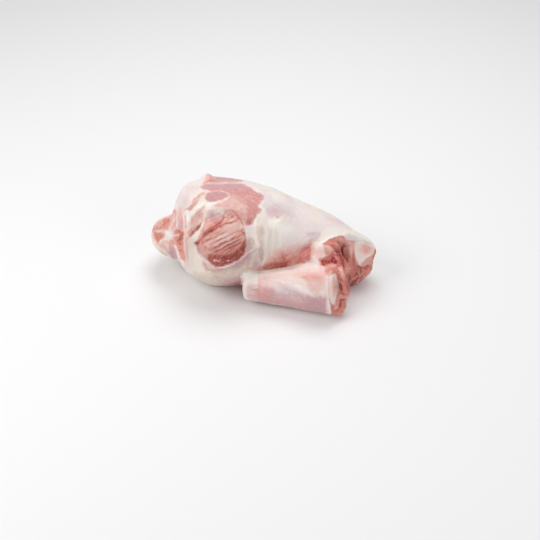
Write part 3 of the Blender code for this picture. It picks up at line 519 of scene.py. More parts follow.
# The cut rump, with its star of fat, and the crease behind it, with painted shade on its lower left.
RUMP_OUTLINE = [
    (150.6, 232), (154.5, 224.4), (159, 219.4), (165, 216.4), (170, 213.8), (174.8, 209.6), (177, 217), (176.8, 225),
    (178, 229.6), (182.8, 232), (183.6, 240), (184, 249.5), (185.2, 258), (185, 267), (179.3, 266), (174.8, 263.4),
    (169.4, 258.4), (165, 254.2), (159.4, 249.6), (154.6, 241.4),
]
RUMP = [
    Patch("blush", [
        (176, 213), (180.6, 207), (184, 212), (185.4, 222), (187, 232), (188, 245), (187.4, 258), (188, 268),
        (184, 268), (184, 250), (182.6, 234), (177, 228),
    ], 0.7, 2.4),
    Patch("blush", [(185, 222), (190, 222), (191, 232), (187, 234)], 0.35, 1.6),
    Patch("rose", [(178.4, 215), (180.5, 211), (183, 216), (183.6, 229), (180, 230), (178.2, 226)], 0.6, 1.3, 0.0,
          0.4, 80),
    Patch("coral", RUMP_OUTLINE, 0.9, 0.9, -0.0003),
    Patch("blush", RUMP_OUTLINE, 0.4, 1.2, 0.0, 1.0, 40),
    Patch("salmon", RUMP_OUTLINE, 0.15, 1.2),
    Patch("salmon", [(158, 223), (163, 219), (169, 217.6), (168, 222), (165, 226.6), (160, 225)], 0.35, 1.8),
    Patch("salmon", [(153, 230), (155, 226), (162, 225), (167, 227), (164, 230), (156, 230.6)], 0.35, 1.4, 0.0, 0.4,
          20),
    Patch("blush", [(168, 227), (170, 222), (174.4, 216), (176, 228), (173.4, 231.6), (169.6, 230)], 0.7, 1.2, 0.0,
          0.4, 60),
    Patch("blush", [(168, 216), (174, 211.6), (175, 218), (171, 221)], 0.6, 1.4),
    Patch("blush", [
        (158, 245), (160.6, 241), (168, 240.6), (172.5, 243), (175.5, 252), (179, 260.6), (170, 260), (162, 252.4),
    ], 0.9, 1.4, 0.0003),
    Patch("fat", [(159, 246), (163, 242), (169, 247), (172, 255), (176, 261.6), (168, 258), (161, 252)], 0.4, 1.8, 0.0,
          0.5, -60),
    Patch("mauve", [(168.6, 249), (172.5, 246.6), (175.6, 251), (178, 258.6), (174, 260), (170, 255)], 0.7, 1.6),
    Patch("beige", [(160, 249), (166, 252), (172, 258), (168, 258.6), (162, 254)], 0.35, 1.6),
    Stroke("dusty", [(169.6, 241.6), (170.4, 246.4), (170.6, 251)], 1.3, 0.7, -0.0004),
    # Painted shade: beige and dusty on the rump's lower left, which faces down.
    Patch("beige", [(153, 240), (160, 240), (167, 247), (174, 258), (168, 258), (158, 249)], 0.3, 2.0),
    Patch("dusty", [(153, 240), (160, 240), (167, 247), (174, 258), (168, 258), (158, 249)], 0.35, 2.0),
    Patch("fat", [(156, 219), (163, 215), (169, 213.6), (168, 217), (161, 220.6), (156, 225), (153.6, 226)], 0.5,
          1.4),
    Patch("blush", [(154, 222), (161, 219.6), (163, 223), (158, 227), (154, 228)], 0.5, 1.6),
    Patch("salmon", [(155, 232.8), (160, 233), (163.6, 234), (162.4, 237), (160.2, 240), (158.4, 242.2),
                     (155.6, 238)], 0.65, 1.2, -0.0003),
    Patch("blush", [(159, 229), (166, 229), (167, 234), (164, 236), (160, 232.6)], 0.5, 1.4),
    Patch("coral", [(176.4, 245.4), (180.6, 246.4), (183.6, 251), (184, 257), (182.4, 260), (179.8, 255.6),
                    (177.6, 250)], 0.9, 0.9, -0.0002),
    Stroke("red", [(177.4, 250.4), (180, 250.8), (182.8, 250.2)], 0.9, 0.5, -0.0004),
    Patch("coral", [(173.4, 238), (177, 235), (182, 236), (182, 243), (176, 244), (173, 242)], 0.8, 1.0, -0.0003),
    Patch("salmon", [(174.8, 230.4), (178.6, 229.4), (181.4, 232.4), (178.6, 234.8), (175, 234)], 0.85, 1.0, -0.0005),
    Patch("salmon", [(180.6, 232.8), (183.6, 232), (184, 236), (181.4, 237)], 0.85, 0.9, -0.0004),
    Patch("red", [(178.8, 236), (181.6, 234.8), (182.6, 238.6), (180, 241), (178.2, 239.4)], 0.85, 1.0, -0.0006),
    Stroke("red", [(174.6, 239.4), (177.6, 241.4), (179.4, 243.6), (181, 245)], 1.2, 0.6, -0.0004),
    Stroke("deep", [(179.4, 243.4), (181.4, 244.6)], 1.1, 0.3, -0.0002),
    Stroke("salmon", [(175, 238.4), (178, 236.4), (180, 234.6)], 0.9, 0.5, -0.0003),
    Stroke("fat", [(171, 235), (175, 235.4), (179.6, 234)], 0.9, 0.65, 0.0004),
    Stroke("fat", [(171, 237.6), (174, 240.6), (175.6, 243.6)], 0.9, 0.5, 0.0003),
    Patch("fat", [(164.6, 231), (168, 229.6), (172, 231), (173.6, 235), (171.4, 239), (168, 241),
                  (164.4, 239.4), (165, 235)], 0.85, 2.0, 0.0005),
    Stroke("white", [(167, 232.6), (169.4, 234), (170.6, 237)], 1.8, 0.5),
    Stroke("beige", [(164.6, 234), (166.4, 233.6)], 0.8, 0.5, -0.0002),
    Stroke("skin", [(154, 231.8), (160, 231.2), (167, 231.4)], 1.0, 0.65, 0.0004),
    Stroke("fat", [(169, 232), (170.4, 227), (172.8, 221.8), (175.4, 217)], 1.0, 0.65, 0.0003),
    Stroke("fat", [(168, 238), (163.4, 239.4), (161, 241.4), (158.6, 244.4)], 1.2, 0.7, 0.0003),
    Stroke("blush", [(171.6, 232.4), (174.4, 229), (176, 226)], 1.0, 0.5),
    Stroke("white", [(173.8, 243.6), (175.8, 248), (177.8, 253.4), (180.2, 260)], 1.0, 0.85, 0.0004),
    Stroke("fat", [(176.6, 214), (176.6, 222), (177.4, 228.6)], 0.8, 0.7, 0.0005),
    Stroke("fat", [(183.8, 213), (184, 223), (184.6, 231)], 0.8, 0.6, 0.0005),
    Stroke("skin", [(184.4, 236), (184.6, 246), (185.6, 256), (186, 264)], 0.9, 0.6, 0.0004),
    Stroke("fat", [
        (151.8, 229), (152.6, 235), (154.6, 241), (157.6, 245.8), (160.4, 248.8), (165.4, 252.8), (170.4, 256.8),
        (175.2, 261.4),
    ], 1.1, 0.75, 0.0003),
    Patch("fat", [(175.4, 258.6), (180, 259.6), (183.6, 260.6), (185.4, 267), (179, 267), (174, 263)], 0.85, 1.0),
    Stroke("dusty", [(185.2, 214), (185.6, 222), (186, 228.6)], 0.9, 0.7, -0.0007),
    Stroke("rose", [(186.4, 236), (187, 246), (187.2, 262)], 0.9, 0.45, -0.0003),
    Stroke("white", [(187.4, 209), (187.6, 218), (188.4, 229)], 0.9, 0.6, 0.0005),
    Patch("fat", [(185.6, 262), (191, 262), (191, 271), (185.6, 270)], 0.55, 1.8),
    Patch("coral", [(170.6, 240), (175.4, 240), (175.4, 245), (171, 245)], 0.35, 1.6),
]

# The cut knuckle: the recess beside the hinge, the main muscle and the lumps round the bone.
KNUCKLE = [
    Patch("fat", [(330, 226), (345, 231), (360, 236), (376, 243), (377, 249), (362, 241.4), (350, 234.8),
                  (342, 234.2), (331, 237), (322, 241.6), (318, 238)], 0.6, 1.2),
    # Painted light: white over the fat above the thigh bone, where it lies in shade.
    Patch("white", [(350, 232.6), (362, 235), (372, 239.6), (379, 247), (379, 252), (371, 246), (361, 241.6),
                    (352, 236.6)], 0.9, 1.3),
    Patch("salmon", [
        (343, 240), (352, 240.4), (357, 240.6), (360, 243), (376, 250), (375, 264), (371, 274), (362, 286.6),
        (355, 291), (346, 293), (346, 280), (345, 275), (342, 267.4), (342.6, 259), (343.8, 249.2),
    ], 1.0, 0.7),
    Patch("coral", [(345, 243), (351, 244), (353, 254), (351, 266), (347, 272), (344.4, 260)], 0.6, 1.3),
    Patch("coral", [(350, 241.6), (357, 241), (355, 245), (353.6, 251), (351, 247)], 0.7, 1.0),
    Patch("blush", [(344.6, 242.4), (348.6, 241), (349, 246), (346, 249)], 0.5, 1.0),
    Patch("red", [(353, 259), (358, 264), (361, 270), (360, 280), (352, 287), (347, 287), (348, 278), (354, 272)],
          0.45, 1.8),
    Patch("salmon", [
        (322.6, 243.4), (331.5, 238.4), (338, 236.6), (342.6, 235.9), (345.5, 237.7), (345.2, 242.4), (342.4, 247.6),
        (339, 249), (332.8, 248.8), (328, 245.8),
    ], 1.0, 0.7, -0.0002),
    Patch("coral", [(323.4, 243.2), (331, 239.6), (334, 240), (333, 244.4), (328.6, 245.4)], 0.5, 1.2),
    Patch("coral", [(333, 238.6), (342, 236.4), (346, 238.6), (345.6, 245), (342, 247.4), (335, 246)], 0.8, 1.0),
    Patch("scarlet", [(338, 240), (342, 238), (346, 240), (345.4, 246), (341, 247)], 0.15, 1.4),
    Patch("red", [(330, 245.4), (336, 244.6), (340.6, 246), (339, 249.4), (332.8, 249)], 0.55, 1.2),
    # Painted light: a paler blush in the shaded top of the recess.
    Patch("blush", [(335, 239.4), (341, 237.4), (345.6, 238.8), (345, 243.6), (341, 245.4), (336, 243)], 0.5, 1.4),
    # Painted shade, partly the flesh's own dark red: deep and scarlet in the hollow between the hinge and the knuckle.
    Patch("deep", [
        (343.6, 247), (343.4, 252), (343.2, 259), (343.8, 266.6), (341.4, 262), (339, 256.6), (335.4, 252.6),
        (333.2, 250), (335, 249), (340.4, 249),
    ], 0.45, 1.1, -0.0004),
    Patch("scarlet", [
        (344, 246), (343.8, 252), (343.6, 259), (344, 266.6), (341.4, 262), (338.6, 257), (334.8, 253),
        (332.8, 250), (335, 248.6), (340.4, 248.6),
    ], 0.55, 1.0),
    Patch("coral", [(344.4, 241), (350, 242), (352, 247), (351, 255), (347.4, 257), (344.6, 252), (344, 246)], 0.6,
          1.2),
    # Painted light: pale blush on the knuckle's left side, which lies in shade.
    Patch("blush", [(346, 241), (351, 241.6), (353.6, 244), (351.6, 252), (348.4, 255), (347, 248)], 0.55, 1.2),
    Patch("blush", [(350.6, 244), (354.6, 245), (353.6, 253), (350.8, 257)], 0.4, 1.4),
    # Painted shade: red in the crevice beside the hinge's lobe.
    Patch("red", [(342.6, 241), (346, 241.6), (349, 245.6), (350, 252), (348.4, 258), (346.6, 264), (344, 258),
                  (343.6, 249)], 0.4, 1.8),
    Patch("red", [(354, 277), (360, 272), (366, 274), (362, 283), (355, 289), (350, 288)], 0.55, 1.8),
    # Painted shade: a deep line down the crevice.
    Stroke("deep", [(342.8, 258), (342.8, 263), (344, 267.6)], 1.0, 0.7, -0.0004),
    Stroke("white", [(317.6, 245.8), (320.4, 243.4), (324, 241.4), (331, 237.3), (338, 235.2), (342.8, 234.4)], 0.85,
           0.85, 0.0005),
    Patch("lavender", [(343.4, 235), (348, 234), (354, 235.6), (359.6, 239.4), (357.4, 240.8), (351, 240.8),
                       (345.4, 239.4)], 0.75, 0.8, 0.0002),
    Patch("fat", [(350, 234.6), (355, 235.6), (359.4, 239), (355, 239.8), (350, 238)], 0.6, 1.2),
    Stroke("rose", [(342.8, 236), (345.2, 238.8), (351, 241), (357.6, 241)], 0.5, 0.6, -0.0004),
    Stroke("coral", [(346.6, 252), (348, 254.8), (346.8, 257.4)], 1.0, 0.6, 0.0002),
    Stroke("skin", [(350.6, 246.4), (350.4, 252), (351.6, 258)], 0.7, 0.45),
    Stroke("skin", [(346, 267.4), (348, 269.6)], 0.9, 0.35),
    Stroke("skin", [(348.6, 262), (350.4, 267), (349, 273)], 0.6, 0.35),
    # Painted highlights: blush along the tops of the lumps.
    Stroke("blush", [(359.2, 270), (359.8, 277), (357.4, 282), (352, 286.4)], 1.2, 0.45, 0.0004),
    Stroke("blush", [(350, 279), (354.6, 278.6), (357.6, 275.4)], 1.0, 0.4, 0.0003),
    Patch("deep", [(347.4, 276), (350, 275), (350.6, 279), (348.2, 281)], 0.6, 0.9, -0.0004),
    Patch("deep", [(350, 284), (353, 281), (356.8, 279.4), (356, 283), (352.6, 286.8), (350, 286.6)], 0.6, 1.0,
          -0.0003),
    Stroke("red", [(359.6, 264), (360.4, 269.6), (360.4, 274)], 1.0, 0.85, -0.0007),
    Stroke("red", [(360.8, 276), (361.2, 281), (359.4, 284.6)], 0.7, 0.7, -0.0005),
    Patch("dusty", [(361, 263.8), (363, 260.4), (367, 257.4), (369, 259.4), (366, 264.6), (362.6, 267)], 0.7, 0.9),
    Patch("salmon", [(360.6, 262), (363, 260.4), (366, 259.6), (365.6, 264.4), (361, 265)], 0.45, 1.2),
    Patch("blush", [(366.6, 260.6), (370, 256.8), (373.4, 259), (372.8, 264), (368.8, 264.6)], 0.6, 0.8, 0.0006),
    Patch("red", [(362.6, 264.8), (366.6, 264.6), (369.4, 266.6), (366.4, 269), (363, 269.4)], 0.55, 0.9, -0.0004),
    Patch("coral", [(362.4, 270.4), (368, 268.6), (370.4, 270.4), (367, 277.6), (362.6, 283), (361.4, 277)], 0.7, 0.9,
          0.0006),
    Stroke("blush", [(369.6, 271.6), (367, 277), (363, 282)], 0.9, 0.6, 0.0002),
    Stroke("coral", [(371.6, 260), (371.8, 264.6), (370.4, 268)], 0.9, 0.6, 0.0003),
    Stroke("white", [(361.2, 264.4), (364.6, 261), (369.6, 256.6)], 0.45, 0.5, 0.0002),
]

# The hinge of skin and flesh between the haunch and the shank, with painted shade left of its lump and by the knuckle.
HINGE = [
    Patch("fat", [
        (311, 251), (312.4, 245.6), (317, 243.8), (321, 245.2), (323.8, 249), (325.4, 254.6), (321.8, 258.4),
        (317, 259.4), (312.8, 257),
    ], 0.55, 2.0, 0.0003),
    Patch("skin", [(312, 247), (317, 244.6), (322, 247), (324, 253), (321, 257.6), (315, 257.4)], 0.7, 1.5),
    Patch("blush", [(311.6, 249), (315, 251), (320, 252), (321, 256.6), (316, 258), (312, 255)], 0.4, 1.6),
    Patch("blush", [
        (322.5, 245), (326, 245.4), (330.6, 246.8), (334.6, 251.4), (338.8, 255.8), (341, 260.6), (342.2, 266),
        (340.8, 268.6), (337.6, 266), (336, 260), (333.4, 256.6), (330, 259.5), (326, 259.6), (325.4, 254),
    ], 0.95, 0.8),
    Patch("salmon", [(325.6, 256.6), (330, 254), (332.4, 252), (334.6, 255.6), (331.6, 258.4), (329, 261.6),
                     (324.6, 260.6), (321, 258.6)], 0.9, 1.1),
    Patch("coral", [(330, 248.6), (334, 252), (338, 256), (340.6, 262), (341, 267.6), (337.6, 266), (335.6, 258)],
          0.7, 1.0),
    Patch("salmon", [(335, 257), (338, 259), (339.6, 263), (339.6, 267.4), (337, 266), (336.4, 260.6)], 0.6, 0.9),
    Patch("coral", [(324, 248), (328, 248.6), (330.6, 252.4), (328, 255.4), (325.4, 253.6)], 0.6, 1.2),
    # Painted shade: lavender on the lump's left side.
    Patch("lavender", [(310.6, 246), (313.4, 245), (314, 250), (312.4, 256.4), (310.6, 252)], 0.8, 1.0),
    Patch("blush", [(314, 251.6), (317.6, 250.6), (318.4, 254), (316, 256), (313.6, 254.6)], 0.6, 1.0),
    Stroke("rose", [(314.8, 253.2), (316.4, 253.8)], 0.7, 0.7, -0.0003),
    Stroke("white", [(318.6, 245.6), (321.6, 247), (323, 251)], 1.4, 0.4, 0.0003),
    Patch("blush", [(319, 250), (323, 249), (325, 254), (322, 258), (318, 258)], 0.5, 1.8),
    Patch("scarlet", [(321.4, 260.6), (325, 260), (329.4, 261.4), (329, 264.4), (325.6, 266.2), (322.2, 264.8)], 0.9,
          0.7, -0.0009),
    Patch("coral", [(318, 258.8), (321, 257.4), (324.6, 258.6), (322.4, 261), (319.6, 261.6)], 0.9, 0.8, -0.0003),
    Patch("scarlet", [(333, 256.8), (331, 259.6), (329.8, 264), (333, 264.6), (336.8, 264.4), (336.4, 260.4),
                      (334.6, 257.4)], 0.95, 0.6, -0.0013),
    Stroke("deep", [(322.6, 263.4), (325, 264.8), (328, 264)], 1.0, 0.8, -0.0005),
    Patch("deep", [(331.4, 260), (333.6, 258.6), (335.6, 262), (334.6, 264), (331, 263.6)], 0.6, 0.8, -0.0004),
    Stroke("red", [(328.6, 262.6), (329.4, 259.8), (331.6, 256.6)], 0.7, 0.4),
    # Painted shade, partly the flesh's own colour: beige, dusty, red and salmon on the haunch left of the lump.
    Patch("beige", [(309, 240), (318, 239), (322, 242), (315, 246), (314, 256), (310, 256)], 0.45, 1.8),
    Patch("dusty", [(308.6, 245), (313, 243.6), (314.6, 250), (313, 256), (309, 257)], 0.4, 1.6),
    Patch("red", [(301, 252), (306, 247.6), (310.4, 247), (311, 255), (309, 260), (303, 262), (299, 259)], 0.4, 2.2),
    Patch("salmon", [(301, 250), (306, 246), (311, 245), (311, 252), (306, 257), (300, 257)], 0.4, 2.2),
    # Painted shade, partly the flesh's own dark red: red and deep in the hollow by the knuckle.
    Patch("red", [(335, 250), (340, 249.6), (343.4, 253), (343.6, 264), (341, 265), (338, 257)], 0.6, 1.2),
    Patch("deep", [(335.4, 250.6), (339, 250), (341, 252), (341.4, 257), (338.6, 255)], 0.55, 1.0),
    Patch("red", [(337.6, 248.6), (344, 247.4), (345, 254), (344.6, 264), (342, 262), (340, 256)], 0.5, 1.2),
    Patch("red", [(340, 260), (344.6, 260), (346, 270), (341, 270)], 0.35, 1.6),
    Patch("scarlet", [(331, 250), (340, 249), (344, 254), (344, 265), (338, 264), (332, 262)], 0.2, 2.0),
    Patch("blush", [(315, 254), (320, 254), (322, 258), (318, 260), (314.6, 258)], 0.45, 1.4),
    Patch("salmon", [(319.6, 259.4), (325, 258), (331, 259), (330.6, 265), (324, 266.6), (320, 264)], 0.5, 1.4),
    Patch("scarlet", [(322, 260.6), (326, 259.6), (330, 261), (329, 265), (324.6, 265.6), (322, 264)], 0.55, 1.2),
    Patch("scarlet", [(331.4, 258.6), (334, 258), (336, 261), (335.6, 264.6), (331, 264.6), (330.4, 262)], 0.4, 1.2),
]

# The shank: its skin and its tendon, with painted light on its top edge and painted shade on its lower side.
SHANK = [
    Patch("white", [(242, 272), (250, 269), (258, 268.5), (259, 280), (259, 292), (256, 304), (246, 300), (242, 294)],
          0.7, 2.0),
    Patch("lavender", [(242, 276), (252, 274), (256, 290), (250, 300), (243, 296)], 0.4, 3.5),
    Patch("fat", [(283, 267), (300, 263), (316, 257), (325, 261), (327, 268), (310, 269), (290, 274)], 0.5, 3.0),
    Patch("cream", [(296, 276), (312, 281), (322, 285), (324, 293), (312, 289), (298, 283)], 0.35, 3.0),
    Patch("blush", [(292, 272), (310, 269), (324, 272), (326, 280), (312, 282), (299, 279)], 0.6, 5.0),
    Patch("coral", [(300, 277.6), (306, 275), (312, 274), (320, 277), (312, 280)], 0.25, 2.5),
    Patch("blush", [(258, 280), (272, 284), (272, 296), (259, 297)], 0.6, 3.0),
    Patch("blush", [(260, 272), (274, 270), (280, 274), (270, 280), (260, 279)], 0.6, 3.5),
    # Painted shade, partly the skin's own purple tint: mauve, lavender and rose on the shank's lower side.
    Patch("mauve", [
        (262, 293), (285, 292), (300, 293), (315, 296), (328, 300), (324, 313), (305, 313), (285, 310), (262, 304),
    ], 0.7, 6.0),
    Patch("lavender", [
        (266, 282), (285, 283), (300, 287), (318, 293), (324, 305), (305, 305), (285, 302), (264, 296),
    ], 0.4, 5.0),
    Patch("mauve", [(306, 295), (318, 296.5), (329, 300), (325, 311), (310, 309)], 0.5, 4.5),
    Patch("rose", [(262, 296), (285, 300), (305, 303), (326, 307), (326, 316), (290, 313), (262, 308)], 0.4, 5.0),
    Patch("rose", [(308, 298), (320, 299), (326, 304), (314, 306)], 0.35, 2.5, 0.0, 0.6, -12),
    Patch("white", [(262, 272), (300, 276), (322, 290), (322, 300), (290, 293), (262, 284)], 0.2, 4.0, 0.0, 1.0,
          -16),
    Patch("beige", [(262, 272), (290, 273), (318, 276), (324, 290), (300, 288), (262, 282)], 0.2, 4.0),
    Patch("beige", [(260, 300), (285, 307), (310, 311), (326, 312), (324, 318), (290, 314), (258, 306)], 0.4, 2.5),
    Stroke("white", [(274, 280), (290, 284.4), (300, 288.2), (309, 292.6), (319, 298)], 2.8, 0.25, 0.0004),
    Stroke("white", [(290, 284), (300, 288.2), (309, 292.6), (319, 298)], 1.8, 0.3, 0.0002),
    Stroke("lavender", [(284, 278.6), (296, 282), (308, 286.5)], 2.4, 0.35, -0.0003),
    Stroke("mauve", [(280, 286), (291, 290.6), (304, 296.4)], 2.2, 0.3, -0.0004),
    Stroke("blush", [(259.8, 269.5), (258.9, 277), (260.2, 286), (260.2, 297), (259, 303)], 1.1, 0.5, -0.0007),
    Stroke("coral", [(258.4, 285), (259.2, 290), (259.4, 296.4)], 1.4, 0.3, -0.0002),
    Stroke("salmon", [(258.6, 295.4), (260.6, 297.4)], 1.1, 0.6, -0.0003),
    Stroke("coral", [(303, 277.6), (306, 276.6)], 1.0, 0.35),
    Stroke("blush", [(272, 297), (286, 300), (302, 302.6)], 1.4, 0.35),
    Stroke("fat", [(262, 302), (280, 305), (298, 308), (316, 309)], 1.2, 0.2),
    # Painted shade: rose, coral and mauve darken the hock end and the shank's lower side.
    Patch("rose", [(247, 285), (260, 286), (274, 289), (276, 299), (260, 303), (248, 298)], 0.55, 3.0),
    Patch("coral", [(252, 289), (262, 290), (272, 292), (270, 298), (256, 298)], 0.15, 3.0),
    Patch("rose", [(276, 296), (296, 294), (322, 297), (330, 302), (326, 312), (300, 309), (278, 304)], 0.35, 3.5),
    Patch("mauve", [(306, 300), (318, 302), (326, 306), (325, 312), (306, 310)], 0.4, 2.5),
    # Painted light: white and skin along the shank's top edge, which lies in the haunch's shade.
    Patch("white", [(246, 273), (262, 271), (285, 268), (286, 273), (264, 277), (246, 278)], 0.5, 2.4, 0.0014),
    Patch("skin", [(260, 270), (276, 268), (290, 267), (288, 272), (262, 276)], 0.5, 2.4),
    Stroke("white", [(246, 273.4), (254, 272.2), (264, 271.6), (272, 271)], 1.6, 0.6, 0.0003),
    Patch("blush", [(318, 265), (326, 264), (329, 270), (328, 277), (322, 274)], 0.5, 2.5),
    Patch("coral", [(306, 274), (322, 273), (325, 282), (318, 294), (308, 288)], 0.25, 4.0),
    Patch("salmon", [(319, 259), (331, 258.6), (331, 265), (325, 266.6), (320, 264.4)], 0.8, 1.2),
    Patch("scarlet", [(321.4, 260.4), (326, 259.4), (330, 261), (329.4, 265), (324.6, 265.8), (321.6, 264)], 0.65,
          1.0),
]

# The shank's cut end: the rim of skin and the lumps of flesh beside the bone.
SHANK_END = [
    Patch("skin", [(326, 301), (329, 302), (332, 304), (333, 315), (328, 315), (326, 310)], 0.6, 1.5),
    Patch("salmon", [
        (331.6, 304), (334, 298), (338, 292), (338.4, 282), (334, 273), (327.4, 270), (327.4, 264.8), (332, 263.8),
        (338, 265.2), (345, 268), (350, 278), (351, 292), (349.6, 305), (342, 315), (332, 317),
    ], 1.0, 0.8),
    Patch("coral", [
        (331.6, 304), (338, 292), (338.4, 282), (334, 273), (345, 268), (350, 278), (351, 292), (349.6, 305),
        (342, 315),
    ], 0.4, 1.2, 0.0, 0.5, -77),
    Stroke("fat", [(327.6, 272), (328.6, 280), (328.8, 290), (328.6, 301), (330, 308)], 1.9, 0.5, 0.0003),
    Stroke("skin", [(328.4, 276), (329, 286), (328.8, 296)], 1.2, 0.5),
    Stroke("fat", [(328.4, 299), (329.4, 306), (330.8, 315)], 1.2, 0.8, 0.0003),
    Patch("coral", [(327.4, 265.6), (331, 264.4), (337, 265), (337.2, 270), (334.6, 273.6), (329, 273)], 0.9, 0.9,
          0.0008),
    Patch("blush", [(329, 264.6), (336, 264.6), (335.6, 267), (333.4, 268.8), (331, 267.6)], 0.7, 1.0),
    Patch("blush", [(338, 267.4), (341.6, 266.8), (345.6, 271), (348, 276.6), (346, 281), (342, 277), (338.4, 273)],
          0.7, 0.9, 0.0009),
    Patch("coral", [(338.4, 274), (342.4, 278), (344, 283.6), (341.4, 284.6), (339, 281.4)], 0.6, 0.9, 0.0003),
    Patch("coral", [(341.6, 283), (346.4, 281.6), (349.6, 288), (349, 293.4), (344, 293), (341.6, 289)], 0.6, 0.9,
          0.0009),
    Stroke("blush", [(345.8, 282.6), (347.8, 287), (348, 291.6)], 1.1, 0.6, 0.0002),
    Patch("blush", [(337.6, 294), (343, 295), (348.8, 294.6), (348, 298.4), (341, 298.6), (337, 300)], 0.5, 0.9,
          0.0008),
    Patch("blush", [(334.4, 299), (338.8, 300), (338.8, 304.8), (336.4, 309), (333.4, 308.4)], 0.65, 0.9, 0.0008),
    Patch("coral", [(341.4, 301), (347.6, 300.6), (348, 305), (342.4, 310.4), (337, 314.6), (338.8, 309)], 0.7, 0.9,
          0.0009),
    Patch("red", [(331.4, 303), (333.6, 303), (333.6, 308.6), (331.8, 309)], 0.4, 1.0, -0.0002),
    Patch("deep", [(338.8, 284), (341, 284.2), (342, 287.6), (342.2, 291), (340.2, 290), (338.7, 287)], 0.85, 0.8,
          -0.0009),
    Stroke("red", [(340.6, 290.6), (343.6, 293.6), (347.8, 293.4)], 0.9, 0.75, -0.0008),
    Stroke("red", [(344, 281.4), (341, 280.2), (340.2, 277)], 0.9, 0.6, -0.0006),
    Stroke("red", [(338.6, 299.2), (343, 299.8), (347.8, 298.8)], 0.9, 0.7, -0.0008),
    Stroke("deep", [(339.8, 299.8), (340, 304), (338.6, 308), (335.6, 312)], 0.9, 0.6, -0.0008),
    Stroke("red", [(337.8, 269), (338.6, 273.4), (340.8, 275.6)], 0.9, 0.6, -0.0006),
    Patch("coral", [(324.6, 269), (329.4, 270.4), (331, 275), (328, 275.6), (325.6, 273)], 0.55, 1.4),
    Patch("salmon", [(326, 268.4), (334, 269), (335.6, 274), (331, 275.6), (326, 274)], 0.4, 1.4),
    Patch("red", [(344.6, 269), (349.4, 272), (351, 282), (351, 291), (346, 290), (345.6, 280), (344, 274)], 0.75, 1.8),
    Patch("salmon", [(330, 298), (336, 299), (339.6, 302), (337, 306), (330.4, 305.6)], 0.65, 1.6),
    Patch("salmon", [(330.6, 269.6), (335.6, 269.6), (335.6, 274.4), (330.6, 274.4)], 0.55, 1.6),
    Patch("red", [(345, 278), (351, 278), (351, 291), (346, 291)], 0.35, 1.6),
    Patch("blush", [(325.6, 264.6), (330.6, 264.6), (330.4, 269), (326, 269)], 0.5, 1.4),
    Patch("red", [(340, 264), (345, 264), (346, 269), (341, 269)], 0.25, 1.4),
    Patch("red", [(340, 304), (346, 302), (345, 309), (339.6, 312)], 0.3, 1.6),
]

# The rims round the bones, laid over the seat that each bone has in the flesh.
BONE_RIMS = [
    # The thigh bone's white rim is the fat there, and partly painted light over the shade in the seat's groove.
    Stroke("white", [(354.6, 247), (356, 243), (360, 240.6), (367, 241), (374, 244.6), (377.6, 250)], 1.9, 0.9),
    Stroke("skin", [(331, 270), (329.6, 278), (329.2, 286), (329.6, 294), (330.6, 300)], 1.6, 0.85),
]

# The bones' cut faces, with flesh over part of their rims.
BONE_FACES = [
    Patch("blush", [(359, 249), (362, 245), (369, 244), (373, 248), (371.6, 252.4), (366, 254.6), (361, 253)],
          0.75, 2.5, -0.0002),
    Patch("coral", [(362.4, 249), (364.4, 246.6), (369, 246), (371, 249), (368.6, 252.4), (364.4, 252.6)], 0.4, 1.8),
    Stroke("scarlet", [(367.8, 247.4), (368.8, 248.6)], 0.7, 0.5, -0.0003),
    Stroke("scarlet", [(365.6, 250.4), (366.4, 251.6)], 0.7, 0.45, -0.0003),
    Stroke("coral", [(362.6, 246.4), (365.4, 245.4)], 0.9, 0.4),
    # Painted light: white along the thigh bone's upper rim, which lies in shade.
    Stroke("white", [(356.6, 243.4), (361, 241.4), (368, 242), (374.6, 246), (376.4, 251)], 1.7, 0.9, 0.0002),
    Stroke("fat", [(354.6, 248), (356, 256), (360.4, 263.6)], 1.8, 0.7, 0.0002),
    Stroke("lavender", [(357.6, 247), (358.4, 254), (361, 258.6)], 1.6, 0.45),
    Patch("dusty", [(361, 264.6), (363.6, 260.4), (368, 256.8), (372, 253.6), (378, 251.4), (378, 270), (362, 272)],
          0.95, 0.9, 0.0003),
    Stroke("white", [(361.4, 263), (364.6, 259.6), (369, 256), (373, 253)], 0.7, 0.5, 0.0002),
    Patch("skin", [(326, 268), (340, 268), (342, 290), (338, 306), (328, 306)], 0.7, 2.0),
    Patch("blush", [(332, 277), (335.4, 278), (337.4, 286), (336, 294), (332.6, 296)], 0.8, 1.6),
    Patch("coral", [(333, 281), (335.6, 283), (336, 289), (334, 292)], 0.5, 1.4),
    Stroke("salmon", [(335, 285.4), (335.6, 289)], 0.9, 0.5),
    Stroke("white", [(334.6, 274), (337.2, 279), (338.4, 287), (336.8, 295), (334.4, 301)], 0.8, 0.65, 0.0003),
    Stroke("skin", [(331.4, 275), (331, 284), (331.4, 294)], 1.1, 0.6),
]

# How many degrees the fibres rise in the photograph and how furrowed they are: over the skin, and inside outlines.
SKIN_SLOPE = -14
SKIN_FURROWS = 0.3
GRAINS = [
    ([(176, 190), (198, 183), (215, 190), (210, 215), (200, 240), (186, 250), (182, 225)], 48, 0.3),
    ([(206, 184), (250, 184), (265, 200), (252, 226), (228, 208), (212, 200)], -32, 0.2),
    ([(246, 224), (262, 208), (285, 214), (292, 235), (280, 252), (262, 272), (246, 262)], 82, 0.2),
    ([(188, 250), (205, 266), (240, 266), (256, 252), (262, 268), (250, 290), (215, 288), (180, 268)], 6, 0.1),
    ([(262, 270), (272, 254), (310, 242), (313, 258), (286, 270)], 22, 0.1),
    (ROUND_MUSCLE_OUTLINE, 31, 0.7),
    (RUMP_OUTLINE, 52, 0.4),
    ([(343, 240), (352, 240), (360, 243), (360, 285), (348, 292), (342, 267)], -70, 0.5),
    ([(330, 265), (345, 268), (351, 292), (342, 315), (331, 317), (338, 290)], -77, 0.5),
]
